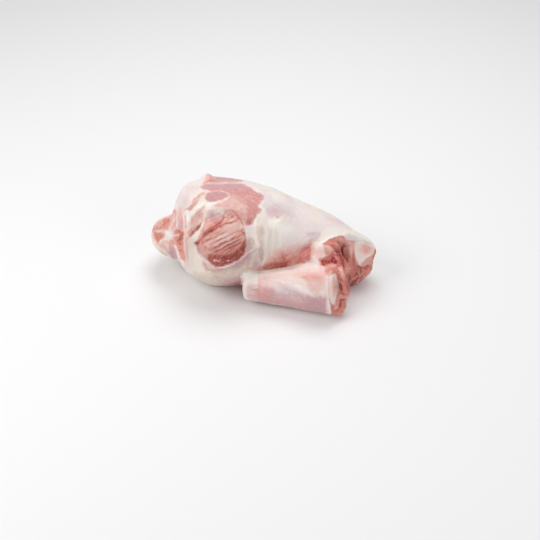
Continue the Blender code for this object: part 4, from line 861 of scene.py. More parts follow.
# Rounds of evening out where two of those areas meet.
GRAIN_ROUNDS = 6

# Every noise's size and seed. The first two pairs bend outlines.
WANDER_NOISES = ((0.004, 1), (0.004, 2))
TREMBLE_NOISES = ((0.0016, 3), (0.0016, 4))
SPECKLE = (0.0022, 5)
BLOTCH = (0.014, 6)
COOL = (0.011, 7)
WARM = (0.009, 8)
FIBRES = (0.0012, 11)
BUNDLES = (0.0025, 12)
WAVES = (0.006, 13)
RIPPLES = (0.003, 14)
PITS = (0.0012, 15)
FURROWS = (0.0026, 60)
# Each tone's own noises: their sizes, and the seeds that they count up from.
TONE_STREAK_SIZE, TONE_STREAK_SEED = 0.0016, 20
TONE_FLECK_SIZE, TONE_FLECK_SEED = 0.0030, 40
# How far a noise moves from one seed to the next, in lumps.
SEED_STEP = 7.3
# How strong the finer of two noises is beside the coarser one.
SECOND_SHARE = 0.5

# How far outlines stray from their curves, in pixels.
WANDER = 0.9
TREMBLE = 0.45
# How many straight steps stand for the curve between two points.
CURVE_STEPS = 6
# Keeps a step of no length from being divided by.
LEAST_STEP = 1e-12
# How far round a shape its edge is worked out: in edge widths round a patch, in half widths round a line.
PATCH_MARGIN = 2
LINE_MARGIN = 3
# How quickly a line grows to its full width, and how much of it is left at its very ends.
TAPER_RISE = 4
TAPER_END = 0.12
# How much of the shapes' rise and fall is sculpted.
GROOVE_DEPTH = 0.55
RIDGE_HEIGHT = 0.75
# A streak's width in pixels, how many times longer it is, and how soft its edges are.
STREAK_WIDTH = 2.4
STREAK_LENGTH = 8
STREAK_EDGE = 0.35
# How strong and how wide the finer streaks between them are, as shares.
FINE_STREAK = 0.6
FINE_STREAK_WIDTH = 0.4
# How uneven the noises make the edges of blobs and the widths of seams.
BLOB_SPECKLE = 0.25
BLOB_BLOTCH = 0.35
SEAM_SPECKLE = 0.5

# Points of the CAD mesh that are closer than this are joined.
WELD = 0.00001
# How far one round of smoothing moves a vertex, as a share.
SOFTENING = 0.5
# A line of sight starts this far outside the surface, so that it doesn't meet its own face.
SIGHT_START = 0.0004
# How the edge of what the camera sees is softened: the rounds, and the value from which it counts as seen.
SEEN_ROUNDS = 5
SEEN_WHOLE = 0.3
# Rounds of evening out where the shank meets the haunch.
SHANK_ROUNDS = 2

# The base's tints by the cool, warm and blotch noises: tone, share, and where on the noise it starts and is whole.
TINTS = (("lavender", 0.55, 0.0, 0.6), ("blush", 0.35, 0.1, 0.7), ("cream", 0.35, 0.05, 0.6))
# The cream low on the haunch, and the height where it ends.
LOW_CREAM = 0.55
LOW_CREAM_TOP = 0.05
# The faint veins: each noise's size, seed and share. They come in over this range of the warm noise.
VEINS = ((0.017, 9, 0.30), (0.010, 10, 0.20))
VEIN_WIDTH = 0.035
VEIN_WARMTH = (-0.2, 0.4)
# The bare muscle of the haunch that the shank covers: its share, and the places over which it comes in or ends.
BEHIND_SHANK = 0.75
BEHIND_SHANK_LEFT = (-0.045, -0.025)
BEHIND_SHANK_RIGHT = (0.06, 0.08)
BEHIND_SHANK_Y = (0.012, -0.010)
BEHIND_SHANK_Z = (0.052, 0.040)
# How much of the shank's skin tone lies over the fat.
SHANK_SKIN = 0.85

# The sawn hock end: how deep it goes, the edges of its flesh round the middle, and its flecks by the speckle noise.
HOCK_END_DEPTH = (0.0012, 0.0004)
HOCK_FLESH_EDGE = (0.0095, 0.0110)
HOCK_FLESH_RISE = -0.0003
HOCK_DARK = 0.5
HOCK_DARK_EDGE = (0.009, 0.0105)
HOCK_DARK_SPECKS = (0.1, 0.5)
HOCK_SINEW = 0.6
HOCK_SINEW_SPECKS = (0.2, 0.6)

# The flush where flesh is pressed back round a bone. It is fully pressed within a third of the seat's width.
SEAT_FLUSH = 0.8
FULL_PRESS = 3
# The pink flecks on the bones, by the speckle noise.
BONE_FLUSH = 0.25
BONE_FLUSH_SPECKS = (0.0, 0.6)

# How the furrows change the dark tones, and how streaky the fat and how flecked the muscle is beside the other.
# The dark tones gather in the furrows partly as painted shade.
FURROW_DARKNESS = -2
FAT_STREAKS = 0.4
LEAN_FLECKS = 0.5

# The materials' noises: how many lumps a metre has, and how detailed they are.
FIBRE_NOISE = (700, 4)
MOTTLING_NOISE = (420, 5)
BLOTCH_NOISE = (90, 3)
PORE_NOISE = (900, 3)
CLOUD_NOISE = (220, 3)
NOISE_ROUGHNESS = 0.6
# How the noises mix in a second colour: the noise's range, and the range of shares that it gives.
PALE_FIBRES = (0.52, 0.72, 0, 0.45)
DARK_FIBRES = (0.46, 0.30, 0, 0.35)
PINK_FLECKS = (0.5, 0.75, 0, 0.22)
PINK_AREAS = (0.4, 0.6, 0.2, 1)
WHITE_FLECKS = (0.48, 0.28, 0, 0.18)
PINK_PORES = (0.5, 0.7, 0, 0.25)
CREAM_CLOUDS = (0.5, 0.3, 0, 0.3)
# The range of a noise over which the roughness changes, how far it changes each way on meat, and both ends on bone.
MIDDLE_RANGE = (0.3, 0.7)
ROUGHNESS_SPREAD = 0.08
BONE_ROUGHNESS = (0.3, 0.42)
# The height of the fibres' bumps from fat to muscle, and of the mottling's.
FIBRE_BUMP = (0.25, 1.0)
MOTTLING_BUMP = 0.7
MEAT_BUMP = {"Strength": 0.55, "Distance": 0.0005}
BONE_BUMP = {"Strength": 0.35, "Distance": 0.0003}
# What is the same all over a material, set on its shader.
MEAT_LOOK = {
    "Subsurface Radius": (1.0, 0.4, 0.28),
    "Subsurface Scale": 0.0022,
    "Coat Roughness": 0.22,
    "Specular IOR Level": 0.25,
}
BONE_LOOK = {"Subsurface Radius": (1.0, 0.7, 0.55), "Subsurface Scale": 0.0015, "Coat Roughness": 0.15}
# A mix node's sockets by number, because those for numbers, vectors and colours share their names.
MIX_FACTOR = 0
MIX_COLOURS = (6, 7)
MIX_RESULT = 2

FLOOR_SIZE = 3.0
FLOOR_ROUGHNESS = 0.7
# Each light's place and size, in metres, and the place that they face.
LIGHTS = {
    "key": ((-0.75, -0.30, 0.75), 0.6),
    "top": ((0.1, 0.35, 1.0), 0.7),
    "fill": ((0.7, -0.7, 0.5), 0.6),
}
LOOK_AT = Vector((0.0, 0.0, 0.04))


def smooth_step(low, high, value):
    """0 at low and 1 at high, with a soft change between. High may be the smaller of the two."""
    t = np.clip((value - low) / (high - low), 0, 1)
    return t * t * (3 - 2 * t)


def curve_through(points, closed):
    """Points along a smooth curve through the given ones."""
    rows = np.array(points, float)
    count = len(rows)
    t = np.linspace(0, 1, CURVE_STEPS, endpoint=False)[:, None]
    pieces = []
    for k in range(count if closed else count - 1):
        places = [(k + j) % count if closed else min(max(k + j, 0), count - 1) for j in (-1, 0, 1, 2)]
        before, start, end, after = rows[places]
        pieces.append(
            start
            + (end - before) * t / 2
            + (before - 2.5 * start + 2 * end - after / 2) * t**2
            + (1.5 * start - before / 2 - 1.5 * end + after / 2) * t**3
        )
    pieces.append(rows[:1] if closed else rows[-1:])
    return np.concatenate(pieces)


def distance_to_line(places, line):
    """How far each place is from the line, and how far along it the nearest point is, from 0 to 1."""
    nearest = np.full(len(places), np.inf)
    along = np.zeros(len(places))
    for k, (start, end) in enumerate(zip(line[:-1], line[1:])):
        step = end - start
        part = np.clip((places - start) @ step / max(step @ step, LEAST_STEP), 0, 1)
        off = np.linalg.norm(places - start - part[:, None] * step, axis=1)
        nearer = off < nearest
        nearest[nearer] = off[nearer]
        along[nearer] = (k + part[nearer]) / (len(line) - 1)
    return nearest, along


def inside(places, line):
    """Whether each place is inside the closed line."""
    x, y = places.T
    within = np.zeros(len(places), bool)
    for (x0, y0), (x1, y1) in zip(line[:-1], line[1:]):
        if y0 != y1:
            within ^= ((y0 > y) != (y1 > y)) & (x < (x1 - x0) * (y - y0) / (y1 - y0) + x0)
    return within


def in_box(places, low, high, margin):
    """Whether each place is in the box from low to high, or within the margin round it."""
    return np.all((places > low - margin) & (places < high + margin), axis=1)


def near_line(places, line, margin):
    """Whether each place is in the line's box, or within the margin round it."""
    return in_box(places, line.min(axis=0), line.max(axis=0), margin)


def noise_at(places, size, seed=0):
    """Smooth noise from -1 to 1 in lumps of about this size, with other lumps for each seed."""
    return np.array([noise.noise(place) for place in (places / size + seed * SEED_STEP).tolist()])


def in_photo(places):
    """The photograph's pixel that each place falls on."""
    rays = places - np.array(CAMERA_PLACE)
    sine, cosine = math.sin(CAMERA_DOWN), math.cos(CAMERA_DOWN)
    depth = rays[:, 1] * cosine - rays[:, 2] * sine
    right = rays[:, 0] / depth
    down = (-rays[:, 1] * sine - rays[:, 2] * cosine) / depth
    return PHOTO_SIZE / 2 + PHOTO_LENS * np.stack([right, down], axis=1)


def vertex_arrays(mesh):
    """The places and the normals of a mesh's vertices."""
    places = np.empty(len(mesh.vertices) * 3)
    normals = np.empty(len(mesh.vertices) * 3)
    mesh.vertices.foreach_get("co", places)
    mesh.vertex_normals.foreach_get("vector", normals)
    return places.reshape(-1, 3), normals.reshape(-1, 3)


def seen_by_camera(piece):
    """1 where nothing stands between a vertex and the camera, and 0 elsewhere."""
    tree = BVHTree.FromObject(piece, bpy.context.evaluated_depsgraph_get())
    places, normals = vertex_arrays(piece.data)
    to_camera = np.array(CAMERA_PLACE) - places
    to_camera /= np.linalg.norm(to_camera, axis=1)[:, None]
    starts = places + SIGHT_START * normals
    seen = np.sum(to_camera * normals, axis=1) > 0
    for k in np.flatnonzero(seen):
        seen[k] = tree.ray_cast(starts[k].tolist(), to_camera[k].tolist())[0] is None
    return seen.astype(float)


class Surface:
    """A mesh's vertices as arrays, with what the painting and the sculpting need to know of them."""

    def __init__(self, piece):
        self.mesh = mesh = piece.data
        self.places, self.normals = vertex_arrays(mesh)
        self.edges = np.empty(len(mesh.edges) * 2, int)
        mesh.edges.foreach_get("vertices", self.edges)
        self.edges = self.edges.reshape(-1, 2)
        self.tones = np.zeros((len(self.places), len(TONE_NAMES)))
        self.lift = np.zeros(len(self.places))
        self.pixels = in_photo(self.places)
        wander, tremble = (
            np.stack([self.noise(field) for field in fields], axis=1) for fields in (WANDER_NOISES, TREMBLE_NOISES)
        )
        self.pixels += WANDER * wander + TREMBLE * tremble
        self.speckle = self.noise(SPECKLE)
        self.blotch = self.noise(BLOTCH)
        self.seen = smooth_step(0.0, SEEN_WHOLE, self.even_out(seen_by_camera(piece), SEEN_ROUNDS))
        self.shank = self.even_out(self.on_shank(), SHANK_ROUNDS)

    def noise(self, field):
        """A noise over the surface, by its size and seed."""
        return noise_at(self.places, *field)

    def on_shank(self):
        """1 where a vertex belongs to the shank, and 0 on the haunch."""
        axis = np.array(SHANK_AXIS)
        off, along = distance_to_line(self.places, axis[:, :3])
        radius = np.interp(along * (len(axis) - 1), np.arange(len(axis)), axis[:, 3])
        past_end = self.places[:, 0] < axis[0, 0]
        return ((off < radius * SHANK_SLACK + SHANK_REACH) & ~past_end).astype(float)

    def even_out(self, values, rounds):
        """Averages each vertex's value with its neighbours'."""
        count = len(values)
        ends = self.edges.T
        neighbours = np.bincount(self.edges.ravel(), minlength=count)
        for _ in range(rounds):
            total = np.bincount(ends[0], values[ends[1]], count) + np.bincount(ends[1], values[ends[0]], count)
            values = (values + total / neighbours) / 2
        return values

    def lay(self, tone, mask, rise=0.0):
        """Lays a tone over what is there, and lifts the surface by the rise under it."""
        self.tones *= 1 - mask[:, None]
        self.tones[:, TONE_NAMES.index(tone)] += mask
        self.lift += rise * mask

    def lay_blob(self, shape, reach):
        """Lays a blob, as far as reach lets it."""
        off = np.linalg.norm((self.places - np.array(shape.centre)) / np.array(shape.radii), axis=1)
        off += BLOB_SPECKLE * self.speckle + BLOB_BLOTCH * self.blotch
        mask = reach * (1 - smooth_step(1 - shape.edge, 1 + shape.edge, off))
        self.lay(shape.tone, shape.share * mask, shape.rise / shape.share)

    def lay_seam(self, shape, reach):
        """Lays a seam along the nearest vertices, as far as reach lets it."""
        curve = curve_through(shape.points, False)
        line = np.array([self.places[np.argmin(np.sum((self.places - point) ** 2, axis=1))] for point in curve])
        near = np.flatnonzero(near_line(self.places, line, LINE_MARGIN * shape.width))
        off, along = distance_to_line(self.places[near], line)
        taper = self.taper(along) * (1 + SEAM_SPECKLE * self.speckle[near])
        mask = np.zeros(len(self.places))
        mask[near] = reach[near] * np.exp(-((off / shape.width) ** 2) / taper)
        self.lay(shape.tone, shape.share * mask, shape.rise / shape.share)

    def lay_shape(self, shape, reach=1.0):
        """Lays a patch or stroke on what the camera sees, as far as reach lets it."""
        is_patch = isinstance(shape, Patch)
        line = curve_through(shape.outline if is_patch else shape.points, is_patch)
        margin = PATCH_MARGIN * shape.edge if is_patch else LINE_MARGIN * shape.width
        near = np.flatnonzero(near_line(self.pixels, line, margin) & (self.seen > 0))
        off, along = distance_to_line(self.pixels[near], line)
        if is_patch:
            off[inside(self.pixels[near], line)] *= -1
            mask = 1 - smooth_step(-shape.edge, shape.edge, off)
            if shape.streaks:
                mask *= 1 - shape.streaks * (1 - self.streaks_at(near, math.radians(shape.slope)))
        else:
            taper = self.taper(along)
            mask = np.exp(-((off / (shape.width * np.sqrt(taper))) ** 2)) * np.sqrt(taper)
        whole = np.zeros(len(self.places))
        whole[near] = shape.share * mask * (self.seen * reach)[near]
        self.lay(shape.tone, whole)
        self.lift += (GROOVE_DEPTH if shape.rise < 0 else RIDGE_HEIGHT) * shape.rise * whole**2 / shape.share**2

    @staticmethod
    def taper(along):
        """How full a line is at each share of its length: 1, but less near both ends."""
        return np.clip(TAPER_RISE * np.minimum(along, 1 - along) + TAPER_END, 0, 1)

    def streaks_at(self, near, slope):
        """Streaks from 0 to 1 that rise by this slope in the photograph."""
        x, y = self.pixels[near].T
        along = x * math.cos(slope) - y * math.sin(slope)
        across = x * math.sin(slope) + y * math.cos(slope)
        places = np.stack([along / STREAK_LENGTH, across, np.full(len(near), slope)], axis=1)
        values = noise_at(places, STREAK_WIDTH) + FINE_STREAK * noise_at(places, STREAK_WIDTH * FINE_STREAK_WIDTH)
        return smooth_step(-STREAK_EDGE, STREAK_EDGE, values)


def merged_copy(node):
    """A CAD node's mesh with its loose triangles joined."""
    body = bmesh.new()
    body.from_mesh(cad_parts[node].data)
    bmesh.ops.remove_doubles(body, verts=body.verts[:], dist=WELD)
    return body


def swollen_copy(node, distance):
    """The same, with every vertex moved outwards."""
    body = merged_copy(node)
    body.normal_update()
    for vert in body.verts:
        vert.co += vert.normal * distance
    return body


def object_from(bodies, name):
    """One object that holds all the bodies' meshes."""
    whole = bmesh.new()
    for body in bodies:
        scrap = bpy.data.meshes.new("scrap")
        body.to_mesh(scrap)
        body.free()
        whole.from_mesh(scrap)
        bpy.data.meshes.remove(scrap)
    mesh = bpy.data.meshes.new(name)
    whole.to_mesh(mesh)
    whole.free()
    made = bpy.data.objects.new(name, mesh)
    bpy.context.scene.collection.objects.link(made)
    return made


def apply_modifiers(piece):
    """Puts what the modifiers make into the piece's own mesh."""
    bpy.context.view_layer.update()
    graph = bpy.context.evaluated_depsgraph_get()
    mesh = bpy.data.meshes.new_from_object(piece.evaluated_get(graph))
    piece.modifiers.clear()
    piece.data = mesh


def fine_skin(piece, voxel, smoothings):
    """Rounds the piece's facets and gives it an even, fine mesh."""
    rounder = piece.modifiers.new("rounder", "SUBSURF")
    rounder.levels = 1
    rounder.render_levels = 1
    remesh = piece.modifiers.new("fine_mesh", "REMESH")
    remesh.mode = "VOXEL"
    remesh.voxel_size = voxel
    soften = piece.modifiers.new("soften", "SMOOTH")
    soften.factor = SOFTENING
    soften.iterations = smoothings
    apply_modifiers(piece)


def thin_hidden(piece, share):
    """Leaves this share of the faces, and takes the others from the sides that the camera doesn't see."""
    hidden = np.flatnonzero(seen_by_camera(piece) == 0)
    group = piece.vertex_groups.new(name="hidden")
    group.add(hidden.tolist(), 1.0, "REPLACE")
    thinner = piece.modifiers.new("thinner", "DECIMATE")
    thinner.ratio = share
    thinner.vertex_group = group.name
    thinner.use_collapse_triangulate = True
    apply_modifiers(piece)
    piece.vertex_groups.clear()


def press_round_bones(surface, settings):
    """Presses the flesh back where a bone's cut end shows, so that the bone stands a little proud."""
    pressed = np.zeros(len(surface.places))
    seat = settings.bone_seat
    for node in BONES:
        body = merged_copy(node)
        tree = BVHTree.FromBMesh(body)
        body.free()
        low, high = (np.array(corner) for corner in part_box(node))
        for k in np.flatnonzero(in_box(surface.places, low, high, seat)):
            _, normal, _, distance = tree.find_nearest(surface.places[k].tolist(), seat)
            if normal is not None:
                pressed[k] = smooth_step(seat, seat / FULL_PRESS, distance)
    surface.lay("blush", SEAT_FLUSH * pressed, -seat / SEAT_FLUSH)


def paint_base(surface):
    """The fat cover of the haunch and the skin of the shank, with their slow changes of tint."""
    x, y, z = surface.places.T
    cool, warm = surface.noise(COOL), surface.noise(WARM)
    surface.lay("fat", np.ones(len(x)))
    for (tone, share, start, whole), tint in zip(TINTS, (cool, warm, surface.blotch)):
        surface.lay(tone, share * smooth_step(start, whole, tint))
    surface.lay("cream", LOW_CREAM * (1 - smooth_step(0.0, LOW_CREAM_TOP, z)))
    for size, seed, share in VEINS:
        vein = surface.noise((size, seed))
        surface.lay("blush", share * np.exp(-((vein / VEIN_WIDTH) ** 2)) * smooth_step(*VEIN_WARMTH, warm))
    for shape in DENTS:
        surface.lay_blob(shape, 1)
    for shape in HIDDEN_SIDES:
        surface.lay_blob(shape, 1 - surface.seen)
    for shape in HIDDEN_SEAMS:
        surface.lay_seam(shape, 1 - surface.seen)
    hidden = (1 - surface.seen) * (1 - surface.shank)
    behind_shank = smooth_step(*BEHIND_SHANK_Y, y) * smooth_step(*BEHIND_SHANK_Z, z)
    in_reach = smooth_step(*BEHIND_SHANK_LEFT, x) * (1 - smooth_step(*BEHIND_SHANK_RIGHT, x))
    surface.lay("dusty", BEHIND_SHANK * hidden * behind_shank * in_reach)
    surface.lay("skin", SHANK_SKIN * surface.shank)


def hock_end(surface):
    """The sawn hock end of the shank: a ring of red flesh and sinew round the bone."""
    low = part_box("shank_bone")[0]
    from_end = surface.places[:, 0] - low.x
    on_end = smooth_step(*HOCK_END_DEPTH, from_end) * surface.shank
    middle = np.array(SHANK_AXIS[0][1:3])
    off = np.linalg.norm(surface.places[:, 1:] - middle, axis=1)
    flesh, dark_flesh = (1 - smooth_step(*edge, off) for edge in (HOCK_FLESH_EDGE, HOCK_DARK_EDGE))
    surface.lay("salmon", on_end * flesh, HOCK_FLESH_RISE)
    surface.lay("red", HOCK_DARK * on_end * smooth_step(*HOCK_DARK_SPECKS, surface.speckle) * dark_flesh)
    surface.lay("white", HOCK_SINEW * on_end * smooth_step(*HOCK_SINEW_SPECKS, -surface.speckle))


def grain_of(surface, settings):
    """Coordinates that are short along the fibres, so that a noise on them runs in streaks."""
    up = np.array([0, math.sin(CAMERA_DOWN), math.cos(CAMERA_DOWN)])
    right = np.array([1.0, 0, 0])
    slopes = np.full(len(surface.places), float(SKIN_SLOPE))
    surface.furrowed = np.full(len(surface.places), SKIN_FURROWS)
    for outline, slope, furrows in GRAINS:
        within = inside(surface.pixels, curve_through(outline, True)) & (surface.seen > 0.5)
        slopes[within] = slope
        surface.furrowed[within] = furrows
    slopes = np.radians(surface.even_out(slopes, GRAIN_ROUNDS))
    surface.furrowed = surface.even_out(surface.furrowed, GRAIN_ROUNDS)
    along = np.cos(slopes)[:, None] * right + np.sin(slopes)[:, None] * up
    reach = np.sum(surface.places * along, axis=1)[:, None]
    return surface.places - (1 - 1 / settings.fibre_length) * reach * along


def lean_share(surface):
    """How much of each vertex's colour is muscle."""
    return surface.tones[:, [TONE_NAMES.index(tone) for tone in LEAN_TONES]].sum(axis=1)


def break_up(surface, settings):
    """Turns even blends of tones into flecks and streaks of each, with the dark ones in the furrows as partly painted
    shade.
    """
    surface.tones = np.clip(surface.tones - LEAST_SHARE, 0, None)
    surface.tones /= surface.tones.sum(axis=1)[:, None]
    lean = lean_share(surface)
    surface.furrows = surface.furrowed * noise_at(surface.grain, *FURROWS)
    dark = [TONE_NAMES.index(tone) for tone in DARK_TONES]
    surface.tones[:, dark] *= np.exp(FURROW_DARKNESS * settings.lean_contrast * surface.furrows)[:, None]
    streaky = settings.lean_contrast * lean + FAT_STREAKS * settings.fat_contrast * (1 - lean)
    flecked = LEAN_FLECKS * settings.lean_contrast * lean + settings.fat_contrast * (1 - lean)
    for index in range(len(TONE_NAMES)):
        streaks = noise_at(surface.grain, TONE_STREAK_SIZE, TONE_STREAK_SEED + index)
        flecks = noise_at(surface.places, TONE_FLECK_SIZE, TONE_FLECK_SEED + index)
        surface.tones[:, index] *= np.exp(streaky * streaks + flecked * flecks)
    surface.tones /= surface.tones.sum(axis=1)[:, None]


def fine_relief(surface, settings):
    """The fibres of the muscles and the soft waves of the fat. Gives back how lean each vertex is."""
    lean = lean_share(surface)
    fibres = noise_at(surface.grain, *FIBRES) + SECOND_SHARE * noise_at(surface.grain, *BUNDLES)
    waves = surface.noise(WAVES) + SECOND_SHARE * surface.noise(RIPPLES)
    surface.lift += lean * (settings.fibre_height * fibres + settings.furrow_depth * surface.furrows)
    surface.lift += settings.fat_wave * (1 - lean) * waves
    return lean


def save_attributes(surface, lean):
    """Keeps the tones, the grain and the leanness on the mesh, for the material."""
    mesh = surface.mesh
    for first in range(0, len(TONE_NAMES), TONES_IN_ATTRIBUTE):
        layer = mesh.attributes.new(tone_attribute(first), "FLOAT_COLOR", "POINT")
        layer.data.foreach_set("color", surface.tones[:, first:first + TONES_IN_ATTRIBUTE].ravel())
    mesh.attributes.new("grain", "FLOAT_VECTOR", "POINT").data.foreach_set("vector", surface.grain.ravel())
    mesh.attributes.new("lean", "FLOAT", "POINT").data.foreach_set("value", lean)


def tone_attribute(tone_index):
    """The name of the attribute that holds this tone and its neighbours."""
    return f"tones_{tone_index // TONES_IN_ATTRIBUTE}"


def carve(surface, node):
    """Moves the vertices by their lift and keeps them inside the solid's box."""
    low, high = (np.array(corner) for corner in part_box(node))
    places = np.clip(surface.places + surface.normals * surface.lift[:, None], low, high)
    surface.mesh.vertices.foreach_set("co", places.ravel())
    surface.mesh.update()


def make_flesh(settings):
    """The haunch and the shank in one skin, painted and carved."""
    bodies = [merged_copy("lamb_leg")]
    bodies += [swollen_copy(node, settings.bone_fill) for node in BONES]
    piece = object_from(bodies, "flesh_and_fat")
    fine_skin(piece, settings.mesh_size, settings.smoothings)
    thin_hidden(piece, settings.mesh_share)
    surface = Surface(piece)
    paint_base(surface)
    hock_end(surface)
    haunch_reach = np.clip(2 - 2 * surface.shank, 0, 1)
    shank_reach = np.clip(2 * surface.shank, 0, 1)
    for shape in HAUNCH_TOP + MEMBRANE + ROUND_MUSCLE + RUMP + KNUCKLE + HINGE:
        surface.lay_shape(shape, haunch_reach)
    for shape in SHANK + SHANK_END:
        surface.lay_shape(shape, shank_reach)
    surface.grain = grain_of(surface, settings)
    break_up(surface, settings)
    lean = fine_relief(surface, settings)
    surface.lift = surface.even_out(surface.lift, 1)
    press_round_bones(surface, settings)
    for shape in BONE_RIMS:
        surface.lay_shape(shape)
    carve(surface, "lamb_leg")
    save_attributes(surface, lean)
    return piece


def make_bone(node, name, settings):
    """A bone with its cut face painted and its pits carved."""
    piece = object_from([merged_copy(node)], name)
    fine_skin(piece, settings.bone_mesh_size, settings.bone_smoothings)
    surface = Surface(piece)
    surface.lay("bone", np.ones(len(surface.places)))
    surface.lay("blush", BONE_FLUSH * smooth_step(*BONE_FLUSH_SPECKS, surface.speckle))
    for shape in BONE_FACES:
        surface.lay_shape(shape)
    surface.grain = surface.places
    surface.lift += settings.bone_pitting * surface.noise(PITS)
    carve(surface, node)
    save_attributes(surface, np.zeros(len(surface.places)))
    return piece


def new_material(name):
    """A new material, its node tree and its Principled shader."""
    made = bpy.data.materials.new(name)
    made.use_nodes = True
    return made, made.node_tree, made.node_tree.nodes["Principled BSDF"]


def add_node(tree, kind, values=(), **settings):
    """Adds a node with its settings, and sets or links its inputs."""
    made = tree.nodes.new(kind)
    for key, value in settings.items():
        setattr(made, key, value)
    for key, value in dict(values).items():
        if isinstance(value, bpy.types.NodeSocket):
            tree.links.new(value, made.inputs[key])
        else:
            made.inputs[key].default_value = value
    return made


def noise_node(tree, coordinates, scale, detail):
    """A noise from 0 to 1, with this many lumps in a metre."""
    values = {"Vector": coordinates, "Scale": scale, "Detail": detail, "Roughness": NOISE_ROUGHNESS}
    return add_node(tree, "ShaderNodeTexNoise", values).outputs["Fac"]


def mapped(tree, value, low, high, new_low, new_high):
    """The value's range from low to high stretched over a new one."""
    values = {0: value, 1: low, 2: high, 3: new_low, 4: new_high}
    return add_node(tree, "ShaderNodeMapRange", values).outputs["Result"]


def arithmetic(tree, operation, first, second):
    """The result of the operation on two values."""
    return add_node(tree, "ShaderNodeMath", {0: first, 1: second}, operation=operation).outputs[0]


def tinted(tree, colour, factor, other):
    """The colour mixed with another by the factor."""
    values = {MIX_FACTOR: factor, MIX_COLOURS[0]: colour, MIX_COLOURS[1]: other}
    return add_node(tree, "ShaderNodeMix", values, data_type="RGBA").outputs[MIX_RESULT]


def mixed_tones(tree, settings):
    """The sum of every tone's colour times its share at a place."""
    total = (0, 0, 0)
    for first in range(0, len(TONE_NAMES), TONES_IN_ATTRIBUTE):
        layer = add_node(tree, "ShaderNodeAttribute", attribute_name=tone_attribute(first))
        shares = add_node(tree, "ShaderNodeSeparateColor", {"Color": layer.outputs["Color"]}).outputs
        for share, name in zip([*shares, layer.outputs["Alpha"]], TONE_NAMES[first:first + TONES_IN_ATTRIBUTE]):
            values = {0: getattr(settings, name), 1: share, 2: total}
            total = add_node(tree, "ShaderNodeVectorMath", values, operation="MULTIPLY_ADD").outputs[0]
    return total


def finish_shader(tree, shader, settings, colour, roughness, bump, look):
    """Links what changes over the surface, and sets the wet coat and the light inside on the shader itself."""
    tree.links.new(colour, shader.inputs["Base Color"])
    tree.links.new(roughness, shader.inputs["Roughness"])
    tree.links.new(add_node(tree, "ShaderNodeBump", bump).outputs["Normal"], shader.inputs["Normal"])
    shader.inputs["Subsurface Weight"].default_value = settings.translucency
    shader.inputs["Coat Weight"].default_value = settings.moisture
    for name, value in look.items():
        shader.inputs[name].default_value = value


def meat_material(settings):
    """Flesh and fat: the mixed tones with fibres, mottling and a moist gloss."""
    made, tree, shader = new_material("raw_lamb")
    places = add_node(tree, "ShaderNodeTexCoord").outputs["Object"]
    grain = add_node(tree, "ShaderNodeAttribute", attribute_name="grain").outputs["Vector"]
    lean = add_node(tree, "ShaderNodeAttribute", attribute_name="lean").outputs["Fac"]
    fibres = noise_node(tree, grain, *FIBRE_NOISE)
    mottling = noise_node(tree, places, *MOTTLING_NOISE)
    blotches = noise_node(tree, places, *BLOTCH_NOISE)
    colour = mixed_tones(tree, settings)
    streaks = arithmetic(tree, "MULTIPLY", lean, mapped(tree, fibres, *PALE_FIBRES))
    colour = tinted(tree, colour, streaks, (*settings.blush, 1))
    threads = arithmetic(tree, "MULTIPLY", lean, mapped(tree, fibres, *DARK_FIBRES))
    colour = tinted(tree, colour, threads, (*settings.red, 1))
    pink_flecks = mapped(tree, mottling, *PINK_FLECKS)
    pink = arithmetic(tree, "MULTIPLY", pink_flecks, mapped(tree, blotches, *PINK_AREAS))
    colour = tinted(tree, colour, pink, (*settings.blush, 1))
    colour = tinted(tree, colour, mapped(tree, mottling, *WHITE_FLECKS), (*settings.white, 1))
    duller, glossier = settings.roughness + ROUGHNESS_SPREAD, settings.roughness - ROUGHNESS_SPREAD
    roughness = mapped(tree, mottling, *MIDDLE_RANGE, glossier, duller)
    fibre_height = arithmetic(tree, "MULTIPLY", fibres, mapped(tree, lean, 0, 1, *FIBRE_BUMP))
    height = arithmetic(tree, "ADD", fibre_height, arithmetic(tree, "MULTIPLY", mottling, MOTTLING_BUMP))
    bump = {"Height": height, **MEAT_BUMP}
    finish_shader(tree, shader, settings, colour, roughness, bump, MEAT_LOOK)
    return made


def bone_material(settings):
    """Cut wet bone: the mixed tones with pink pores and creamy clouds."""
    made, tree, shader = new_material("cut_bone")
    places = add_node(tree, "ShaderNodeTexCoord").outputs["Object"]
    pores = noise_node(tree, places, *PORE_NOISE)
    clouds = noise_node(tree, places, *CLOUD_NOISE)
    colour = mixed_tones(tree, settings)
    colour = tinted(tree, colour, mapped(tree, pores, *PINK_PORES), (*settings.blush, 1))
    colour = tinted(tree, colour, mapped(tree, clouds, *CREAM_CLOUDS), (*settings.cream, 1))
    roughness = mapped(tree, clouds, *MIDDLE_RANGE, *BONE_ROUGHNESS)
    finish_shader(tree, shader, settings, colour, roughness, {"Height": pores, **BONE_BUMP}, BONE_LOOK)
    return made


def finish_piece(piece, material, node):
    """Gives the piece its material and its place in the frame."""
    piece.data.materials.clear()
    piece.data.materials.append(material)
    piece.data.shade_smooth()
    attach(piece, "root")
    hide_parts(node)


def amount(name, description, default, low=0, **limits):
    """A plain number that isn't a length."""
    return bpy.props.FloatProperty(name=name, description=description, default=default, min=low, **limits)


def fraction(name, description, default, low=0):
    """A share from 0 to 1."""
    return amount(name, description, default, low, max=1, subtype="FACTOR")


def metres(name, description, default):
    """A length in metres."""
    return amount(name, description, default, precision=5, subtype="DISTANCE", unit="LENGTH")


def watts(name, description, default):
    """A light's power in watts."""
    return amount(name, description, default, subtype="POWER", unit="POWER")


def times(name, description, default):
    """How often a step is done."""
    return bpy.props.IntProperty(name=name, description=description, default=default, min=0)


